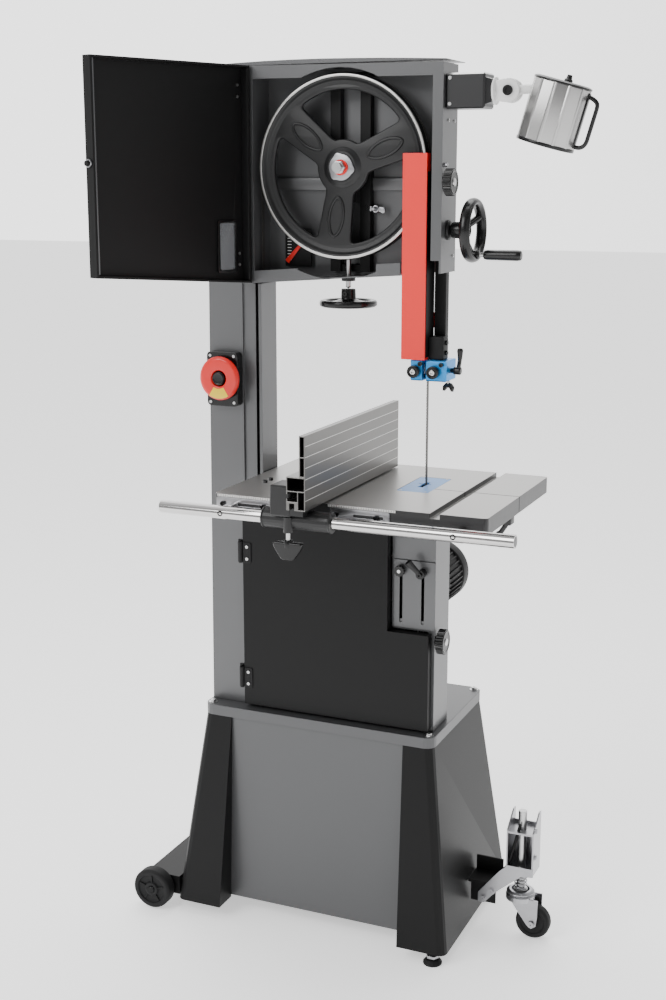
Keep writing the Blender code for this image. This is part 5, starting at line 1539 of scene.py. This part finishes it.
@dataclass
class WorkLamp:
    """Ribbed lamp head with black end caps, handle, gland and lens, and its white knuckle."""

    tilt: float = math.radians(16.0)
    ribs: int = 12

    def build(self) -> None:
        """Make the lamp's pieces."""
        centre = at(237, 15, 1704)
        up = Vector((math.sin(self.tilt), 0, math.cos(self.tilt)))
        side = Vector((math.cos(self.tilt), 0, -math.sin(self.tilt)))
        turn = facing(centre, up, Y)
        outline = []
        for k in range(self.ribs):
            a0 = 2 * math.pi * k / self.ribs
            step = 2 * math.pi / self.ribs
            for share, r in ((0.0, 54.8), (0.06, 55.0), (0.12, 53.6), (0.5, 52.4), (0.88, 53.6),
                             (0.94, 55.0)):
                a = a0 + step * share
                outline.append((r * math.cos(a), r * math.sin(a)))
        inner = arc(47.0, 0, 354, 59)
        shell = plate_mesh(outline, 108.0, turn, 0.3, [inner])
        finish_mesh(shell, "lamp_shell", Looks.LAMP_METAL, "lamp_head", 24, ("lamp_head",))
        top = lathe_mesh(rounded([(0, 53), (55, 53), (55, 57), (48, 59.6), (0, 59.6)], 1.6, 4, closed=False),
                         centre, up,
                         24)
        bottom = lathe_mesh(rounded([(44, -60), (55, -60), (55, -53.5), (44, -53.5)], 1.2, 3), centre, up, 96)
        finish_mesh(joined(top, bottom), "lamp_caps", Looks.PLASTIC, "lamp_head")
        lens = lathe_mesh(rounded([(0, -56), (46, -56), (46, -54), (0, -54)], 0.5, 2, closed=False), centre,
                          up, 64)
        finish_mesh(lens, "lamp_glass", Looks.LENS, "lamp_head")
        route = [(53.4, 44), (66, 41), (74, 35), (74, -38), (66, -47), (53.4, -48)]
        handle = tube_mesh([centre + (side * a + up * b) * MM for a, b in route], 4.0, corner=9)
        straps = block_mesh(Vector((50, -6, -50)) * MM, Vector((55.4, 6, 50)) * MM, 1.0)
        straps.transform(Matrix.Translation(centre) @ Matrix.Rotation(self.tilt, 4, "Y"))
        finish_mesh(joined(handle, straps), "lamp_grip", Looks.PLASTIC, "lamp_head", 45)
        gland_at = centre + (side * 8 + up * 59) * MM
        gland = lathe_mesh(rounded([(0, 0), (8, 0), (8, 4), (5.5, 6), (4.5, 13), (0, 13)], 1.0, 2,
                                   closed=False),
                           gland_at, up, 32)
        finish_mesh(gland, "lamp_gland", Looks.PLASTIC, "lamp_head")
        pivot = joint_at("lamp_tilt")
        neck_end = centre - side * 50 * MM + up * 32 * MM
        neck = tube_mesh([pivot, pivot + (neck_end - pivot) * 0.55, neck_end], 8.5, corner=8)
        tongue = lathe_mesh(rounded([(0, -7.4), (19.4, -7.4), (19.4, 7.4), (0, 7.4)], 1.6, 3, closed=False),
                            pivot, Y, 56)
        finish_mesh(joined(neck, tongue), "lamp_neck", Looks.WHITE, "lamp_head", 50)
        self.knuckle(pivot)

    @staticmethod
    def knuckle(pivot: Vector) -> None:
        """White swivelling fork with its black bolt, and the arm's end ring and screws."""
        lo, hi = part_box("lamp_fork")
        base = Vector((lo.x, pivot.y, pivot.z))
        flange = lathe_mesh(rounded([(0, 0), (25.5, 0), (25.5, 4), (17, 7), (0, 7)], 1.5, 3, closed=False),
                            base, X, 64)
        reach = (pivot.x - lo.x) / MM
        ears = []
        for y0 in (-15.0, 8.0):
            ear = [(4.0, -18.0)] + arc(22.0, -90, 90, 20, (reach, 0.0)) + [(4.0, 18.0)]
            where = Matrix.Translation(base + Y * (y0 + 3.5) * MM) @ Matrix.Rotation(math.pi / 2, 4, "X")
            ears.append(plate_mesh(ear, 7.0, where, 2.4))
        finish_mesh(joined(flange, *ears), "lamp_knuckle", Looks.WHITE, "lamp_fork", 45, ("lamp_fork",))
        Screws(9.5, 4.0, sides=28, washer=0.0, socket=0.5, look=Looks.PLASTIC).put(
            "knuckle_bolt", "lamp_fork", [Spot(pivot - Y * 15 * MM, -Y), Spot(pivot + Y * 15 * MM, Y)])
        arm_lo, arm_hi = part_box("lamp_arm")
        wall = arm_lo.x
        spots = [Spot(Vector((wall + 9 * MM, arm_lo.y, z)), -Y)
                 for z in (arm_lo.z + 9 * MM, arm_hi.z - 9 * MM)]
        PAN_SCREW.put("lamp_arm_screws", "frame", spots)


# ---------------------------------------------------------------- drive

@dataclass
class MotorFittings:
    """Cooling ribs, fan cover and terminal box screws of the motor."""

    ribs: int = 36

    def build(self) -> None:
        """Make the motor's outside."""
        axis = joint_at("motor_pulley_spin")
        lo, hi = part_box("motor")
        centre = Vector((axis.x, lo.y, axis.z))
        rib = block_mesh(Vector((-1.0, -0.2, 46)) * MM, Vector((1.0, 5.0, 116)) * MM, 0.5, 2)
        spots = []
        for k in range(self.ribs):
            a = 2 * math.pi * k / self.ribs
            out = Vector((math.cos(a), 0, math.sin(a)))
            if out.x < -0.86 or out.z < -0.93:
                continue
            spots.append(Spot(centre + out * 61.6 * MM, Y, out.cross(Y)))
        finish_mesh(repeated(rib, Looks.BLACK_PAINT, spots), "motor_ribs", Looks.BLACK_PAINT, "frame", 40)
        length = (hi.y - lo.y) / MM
        cover = lathe_mesh(rounded([(63, 122), (67, 124), (67, length - 8), (60, length + 0.6),
                                    (20, length + 0.6),
                                    (20, length + 0.2), (58, length + 0.2), (62.6, length - 8), (62.6, 122)],
                                   0.9, 2),
                           centre, Y, 64)
        finish_mesh(cover, "fan_cover", Looks.CASE_BLACK, "frame")
        spots = [Spot(Vector((lo.x, lo.y + y * MM, axis.z + z * MM)), -X) for y in (60, 122)
                 for z in (-24, 26)]
        PAN_SCREW.put("terminal_box_screws", "frame", spots)


# ---------------------------------------------------------------- stand and rollers

@dataclass
class StandFittings:
    """Bolts of the top plate, foot nuts and a rivet on the side."""

    def build(self) -> None:
        """Make the stand's fasteners."""
        top = (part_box("stand_top_plate")[1].z) / MM
        spots = [Spot(at(x, y, top), Z) for x in (-464, 33)
                 for y in (-45, 252)] + [Spot(at(-215, 252, top), Z)]
        HEX_BOLT.put("stand_bolts", "frame", spots)
        for side in ("left", "right"):
            for end in ("front", "rear"):
                lo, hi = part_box(f"foot_{side}_{end}")
                place = Vector(((lo.x + hi.x) / 2, (lo.y + hi.y) / 2, hi.z - 12 * MM))
                nut = plate_mesh(rounded(arc(14, 0, 300, 5), 1.0, 2), 6.0, facing(place, Z), 0.6)
                finish_mesh(nut, f"foot_nut_{side}_{end}", Looks.ZINC, "frame")
        spots = [Spot(at(57, -78, 86), Vector((0.98, -0.12, 0.1)))]
        RIVET.put("stand_side_rivet", "frame", spots)


@dataclass
class SideWheels:
    """Tyres, hubs and axle nuts of the two fixed rollers."""

    def build(self) -> None:
        """Make both rollers."""
        for end in ("front", "rear"):
            node = "side_wheel_" + end
            lo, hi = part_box(node)
            r = (hi.z - lo.z) / 2 / MM
            centre = (lo + hi) / 2
            half = (hi.y - lo.y) / 2 / MM
            way = -Y if end == "front" else Y
            tyre = rounded([(r - 12, -half), (r - 4, -half), (r, -half + 4), (r, half - 4), (r - 4, half),
                            (r - 12, half), (r - 13.5, half - 4), (17, half - 5), (15, half), (7.4, half),
                            (7.4, -half)],
                           1.8, 3)
            finish_mesh(lathe_mesh(tyre, centre, way, 72), node + "_tyre", Looks.RUBBER, node, 45, (node,))
            spoke = block_mesh(Vector((-1.6, 14, -2)) * MM, Vector((1.6, 31, 2)) * MM, 0.8, 2)
            spots = []
            for k in range(5):
                a = 2 * math.pi * k / 5 + 0.3
                out = Vector((math.cos(a), 0, math.sin(a)))
                spots.append(Spot(centre + way * (half - 3.6) * MM, way, out.cross(way)))
            finish_mesh(repeated(spoke, Looks.RUBBER, spots), node + "_spokes", Looks.RUBBER, node)
            cap = lathe_mesh(rounded([(0, half - 1), (7.0, half - 1), (7.0, half + 1.9), (0, half + 1.9)],
                                     0.9, 3,
                                     closed=False), centre, way, 32)
            finish_mesh(cap, node + "_axle_cap", Looks.ZINC, "frame")


@dataclass
class CasterFittings:
    """Coil spring, foot lever, bolts, ball race and tyre of the lifting caster."""

    def build(self) -> None:
        """Make the caster's fittings."""
        stem = joint_at("caster_swivel")
        low, high = 0.1085, 0.1515
        coil = grown_mesh(COIL, Looks.ZINC, {"Turns": 5.0, "Radius": 12.6 * MM, "Length": high - low - 0.003,
                                             "Wire": 1.5 * MM})
        coil.transform(Matrix.Translation(Vector((stem.x, stem.y, low + 0.0015))))
        finish_mesh(coil, "lift_spring", Looks.ZINC, "caster_stem", 60)
        race = lathe_mesh(rounded([(19, 100.2), (29, 100.2), (30, 103), (24, 107), (19, 107)], 1.0, 3),
                          Vector((stem.x, stem.y, 0.0)), Z, 64)
        finish_mesh(race, "swivel_race", Looks.ZINC, "caster_stem", 45)
        lo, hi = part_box("caster_channel")
        front = lo.y
        lever = [Vector((lo.x + x * MM, front + 12 * MM, lo.z + z * MM)) for x, z in
                 ((3, 14), (38, 62), (62, 90), (82, 172), (86, 188))]
        finish_mesh(tube_mesh(lever, 3.4, corner=14), "foot_lever", Looks.BLACK_PAINT, "frame", 50)
        spots = [Spot(Vector((lo.x + x * MM, front, lo.z + z * MM)), -Y) for x, z in
                 ((12, 12), (30, 30))]
        spots += [Spot(Vector((hi.x - 0.6 * MM, front + 14 * MM, lo.z + z * MM)), X) for z in (178, 118)]
        Screws(5.5, 4.0, sides=6, washer=8.0, socket=0.3, look=Looks.ZINC).put("caster_bolts", "frame", spots)
        w_lo, w_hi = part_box("caster_wheel")
        centre = (w_lo + w_hi) / 2
        r = (w_hi.z - w_lo.z) / 2 / MM
        tyre = rounded([(r - 10, -13), (r - 3, -13), (r, -8), (r, 8), (r - 3, 13), (r - 10, 13), (r - 12, 10),
                        (5.4, 10), (5.4, -10), (r - 12, -10)], 1.6, 3)
        finish_mesh(lathe_mesh(tyre, centre, -Y, 72), "caster_tyre", Looks.RUBBER, "caster_wheel", 45,
                    ("caster_wheel",))
        Screws(7.0, 4.0, sides=28, washer=0.0, socket=0.2, look=Looks.ZINC).put(
            "caster_axle_heads", "caster_fork",
            [Spot(centre - Y * 20 * MM, -Y), Spot(centre + Y * 20 * MM, Y)])


# ---------------------------------------------------------------- dressing the CAD nodes

CAD_LOOKS: dict[str, Looks] = {
    "blade_cover": Looks.GREY_PAINT, "blade_guard": Looks.RED, "case_top_cover": Looks.GREY_PAINT,
    "caster_channel": Looks.ZINC, "caster_fork": Looks.ZINC, "caster_stem": Looks.STEEL,
    "caster_wheel": Looks.RUBBER, "column": Looks.GREY_PAINT, "cover_lever": Looks.PLASTIC,
    "crank_handle": Looks.PLASTIC, "drive_belt": Looks.RUBBER, "fence_carrier": Looks.CASTING,
    "fence_knob": Looks.PLASTIC, "fence_profile": Looks.ALUMINIUM, "foot_left_front": Looks.RUBBER,
    "foot_left_rear": Looks.RUBBER, "foot_right_front": Looks.RUBBER, "foot_right_rear": Looks.RUBBER,
    "front_rail": Looks.CHROME, "guide_block": Looks.BLUE, "guide_handwheel": Looks.PLASTIC,
    "guide_lever": Looks.PLASTIC, "guide_post": Looks.BLACK_PAINT, "guide_roller_left": Looks.STEEL,
    "guide_roller_right": Looks.STEEL, "lamp_arm": Looks.ARM_WITH_PAINTED_TOP_HIGHLIGHT, "lamp_fork": Looks.WHITE,
    "lamp_head": Looks.LAMP_METAL, "lower_case": Looks.GREY_PAINT, "lower_door": Looks.BLACK_PAINT,
    "lower_guide": Looks.BLUE, "lower_latch_knob": Looks.PLASTIC, "lower_wheel": Looks.CASTING,
    "motor": Looks.BLACK_PAINT, "motor_pulley": Looks.CASTING, "pedal_step": Looks.BLACK_PAINT,
    "shaft_housing": Looks.CASTING, "side_wheel_bracket": Looks.BLACK_PAINT, "side_wheel_front": Looks.RUBBER,
    "side_wheel_rear": Looks.RUBBER, "stand_front_panel": Looks.STAND_GREY,
                               "stand_left_side": Looks.BLACK_PAINT,
    "stand_rear_panel": Looks.STAND_GREY, "stand_right_side": Looks.BLACK_PAINT,
    "stand_top_plate": Looks.STAND_GREY, "start_button": Looks.PLASTIC, "stop_disc": Looks.RED_PLASTIC,
    "switch_box": Looks.PLASTIC, "table": Looks.IRON_TOP, "table_insert": Looks.INSERT,
    "tension_bracket": Looks.BLACK_PAINT, "tension_handwheel": Looks.PLASTIC,
                               "trunnion_cradle": Looks.CASTING,
    "upper_axle": Looks.STEEL, "upper_case": Looks.GREY_PAINT, "upper_door": Looks.BLACK_PAINT,
    "upper_latch_knob": Looks.PLASTIC, "upper_wheel": Looks.CASTING, "wheel_carriage": Looks.CASTING,
    "blade": Looks.BLADE_STEEL,
}


def dress_cad_nodes() -> None:
    """Give every CAD node its finish and softened edges."""
    for name, node in frame["nodes"].items():
        material = CAD_LOOKS[name].value.make()
        node.data.materials.clear()
        node.data.materials.append(material)
        weld = node.modifiers.new("weld", "WELD")
        weld.merge_threshold = 1e-6
        soften = node.modifiers.new("soft_edges", "BEVEL")
        soften.width = 0.7 * MM
        soften.segments = 2
        soften.limit_method = "ANGLE"
        soften.angle_limit = math.radians(40)
        soften.harden_normals = False
        soften.use_clamp_overlap = True
    log.info("dressed %d CAD nodes", len(frame["nodes"]))


# ---------------------------------------------------------------- studio

@dataclass(frozen=True)
class Studio:
    """Plain floor, soft lights and the camera."""

    camera_at: tuple[float, float, float] = (1.10455, -2.60492, 1.58429)
    yaw: float = 23.47
    pitch: float = 12.52
    lens: float = 51.66
    glow: tuple[float, float] = (0.45, 2.4)
    right_shade: tuple[float, float] = (1.1, 0.3)
    floor_glow: float = 0.75

    def build(self) -> None:
        """Make the floor, the lights, the surroundings and the camera."""
        bm = bmesh.new()
        bmesh.ops.create_grid(bm, x_segments=1, y_segments=1, size=30.0)
        mesh = bpy.data.meshes.new("floor")
        bm.to_mesh(mesh)
        bm.free()
        floor = bpy.data.objects.new("floor", mesh)
        bpy.context.scene.collection.objects.link(floor)
        paper = bpy.data.materials.new("floor_paper")
        paper.use_nodes = True
        shader = paper.node_tree.nodes["Principled BSDF"]
        shader.inputs["Base Color"].default_value = (0.97, 0.97, 0.97, 1.0)
        shader.inputs["Roughness"].default_value = 0.9
        shader.inputs["Emission Color"].default_value = WHITE_LIGHT
        shader.inputs["Emission Strength"].default_value = self.floor_glow
        mesh.materials.append(paper)
        lights = [self.light("key", (-1.9, -3.4, 3.6), 2.4, 120.0),
                  self.light("fill", (3.4, -2.2, 2.4), 2.6, 14.0),
                  self.light("top", (0.0, 0.9, 4.2), 2.6, 70.0)]
        world = bpy.data.worlds.new("studio")
        bpy.context.scene.world = world
        world.use_nodes = True
        self.surroundings(world.node_tree)
        data = bpy.data.cameras.new("camera")
        data.lens = self.lens
        data.sensor_width = 36.0
        data.shift_y = -0.0015
        camera = bpy.data.objects.new("camera", data)
        camera.location = self.camera_at
        camera.rotation_euler = (math.radians(90 - self.pitch), 0.0, math.radians(self.yaw))
        bpy.context.scene.collection.objects.link(camera)
        bpy.context.scene.camera = camera

    def surroundings(self, tree: bpy.types.NodeTree) -> None:
        """White surroundings, brightest behind the saw and dimmest on its right."""
        where = tree.nodes.new("ShaderNodeTexCoord")
        split = tree.nodes.new("ShaderNodeSeparateXYZ")
        ramp = tree.nodes.new("ShaderNodeMapRange")
        shade = tree.nodes.new("ShaderNodeMapRange")
        for node, span, values in ((ramp, (-0.7, 0.8), self.glow), (shade, (-0.5, 0.8), self.right_shade)):
            node.interpolation_type = "SMOOTHSTEP"
            for label, value in zip(("From Min", "From Max", "To Min", "To Max"), (*span, *values)):
                node.inputs[label].default_value = value
        tree.links.new(where.outputs["Generated"], split.inputs[0])
        tree.links.new(split.outputs["Y"], ramp.inputs["Value"])
        tree.links.new(split.outputs["X"], shade.inputs["Value"])
        sky = tree.nodes["Background"]
        strength = maths(tree, "MULTIPLY", ramp.outputs["Result"], shade.outputs["Result"])
        tree.links.new(strength, sky.inputs["Strength"])
        sky.inputs["Color"].default_value = WHITE_LIGHT

    @staticmethod
    def light(name: str, place: tuple[float, float, float], size: float, power: float) -> bpy.types.Object:
        """A square soft light aimed at the saw's middle."""
        data = bpy.data.lights.new(name, "AREA")
        data.size = size
        data.energy = power
        lamp = bpy.data.objects.new(name, data)
        lamp.location = place
        aim = Vector((0.0, 0.0, 0.95)) - Vector(place)
        lamp.rotation_euler = aim.to_track_quat("-Z", "Y").to_euler()
        bpy.context.scene.collection.objects.link(lamp)
        return lamp


def main() -> None:
    """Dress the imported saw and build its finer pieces."""
    dress_cad_nodes()
    BandWheel("upper_wheel", "upper_wheel", "upper_wheel_spin", recast=True).build()
    BandWheel("lower_wheel", "lower_wheel", "lower_wheel_spin", recast=False).build()
    axle_end()
    UpperCase().build()
    UpperDoor().build()
    LatchKnob("upper_latch_knob").build()
    LatchKnob("lower_latch_knob").build()
    LowerCabinet().build()
    ToothedBlade().build()
    GuideHead().build()
    RisingHandwheel().build()
    TensionHandwheel().build()
    TableFittings().build()
    FenceFittings().build()
    StopSwitch().build()
    WorkLamp().build()
    MotorFittings().build()
    StandFittings().build()
    SideWheels().build()
    CasterFittings().build()
    Studio().build()


if __name__ == "__main__":
    main()
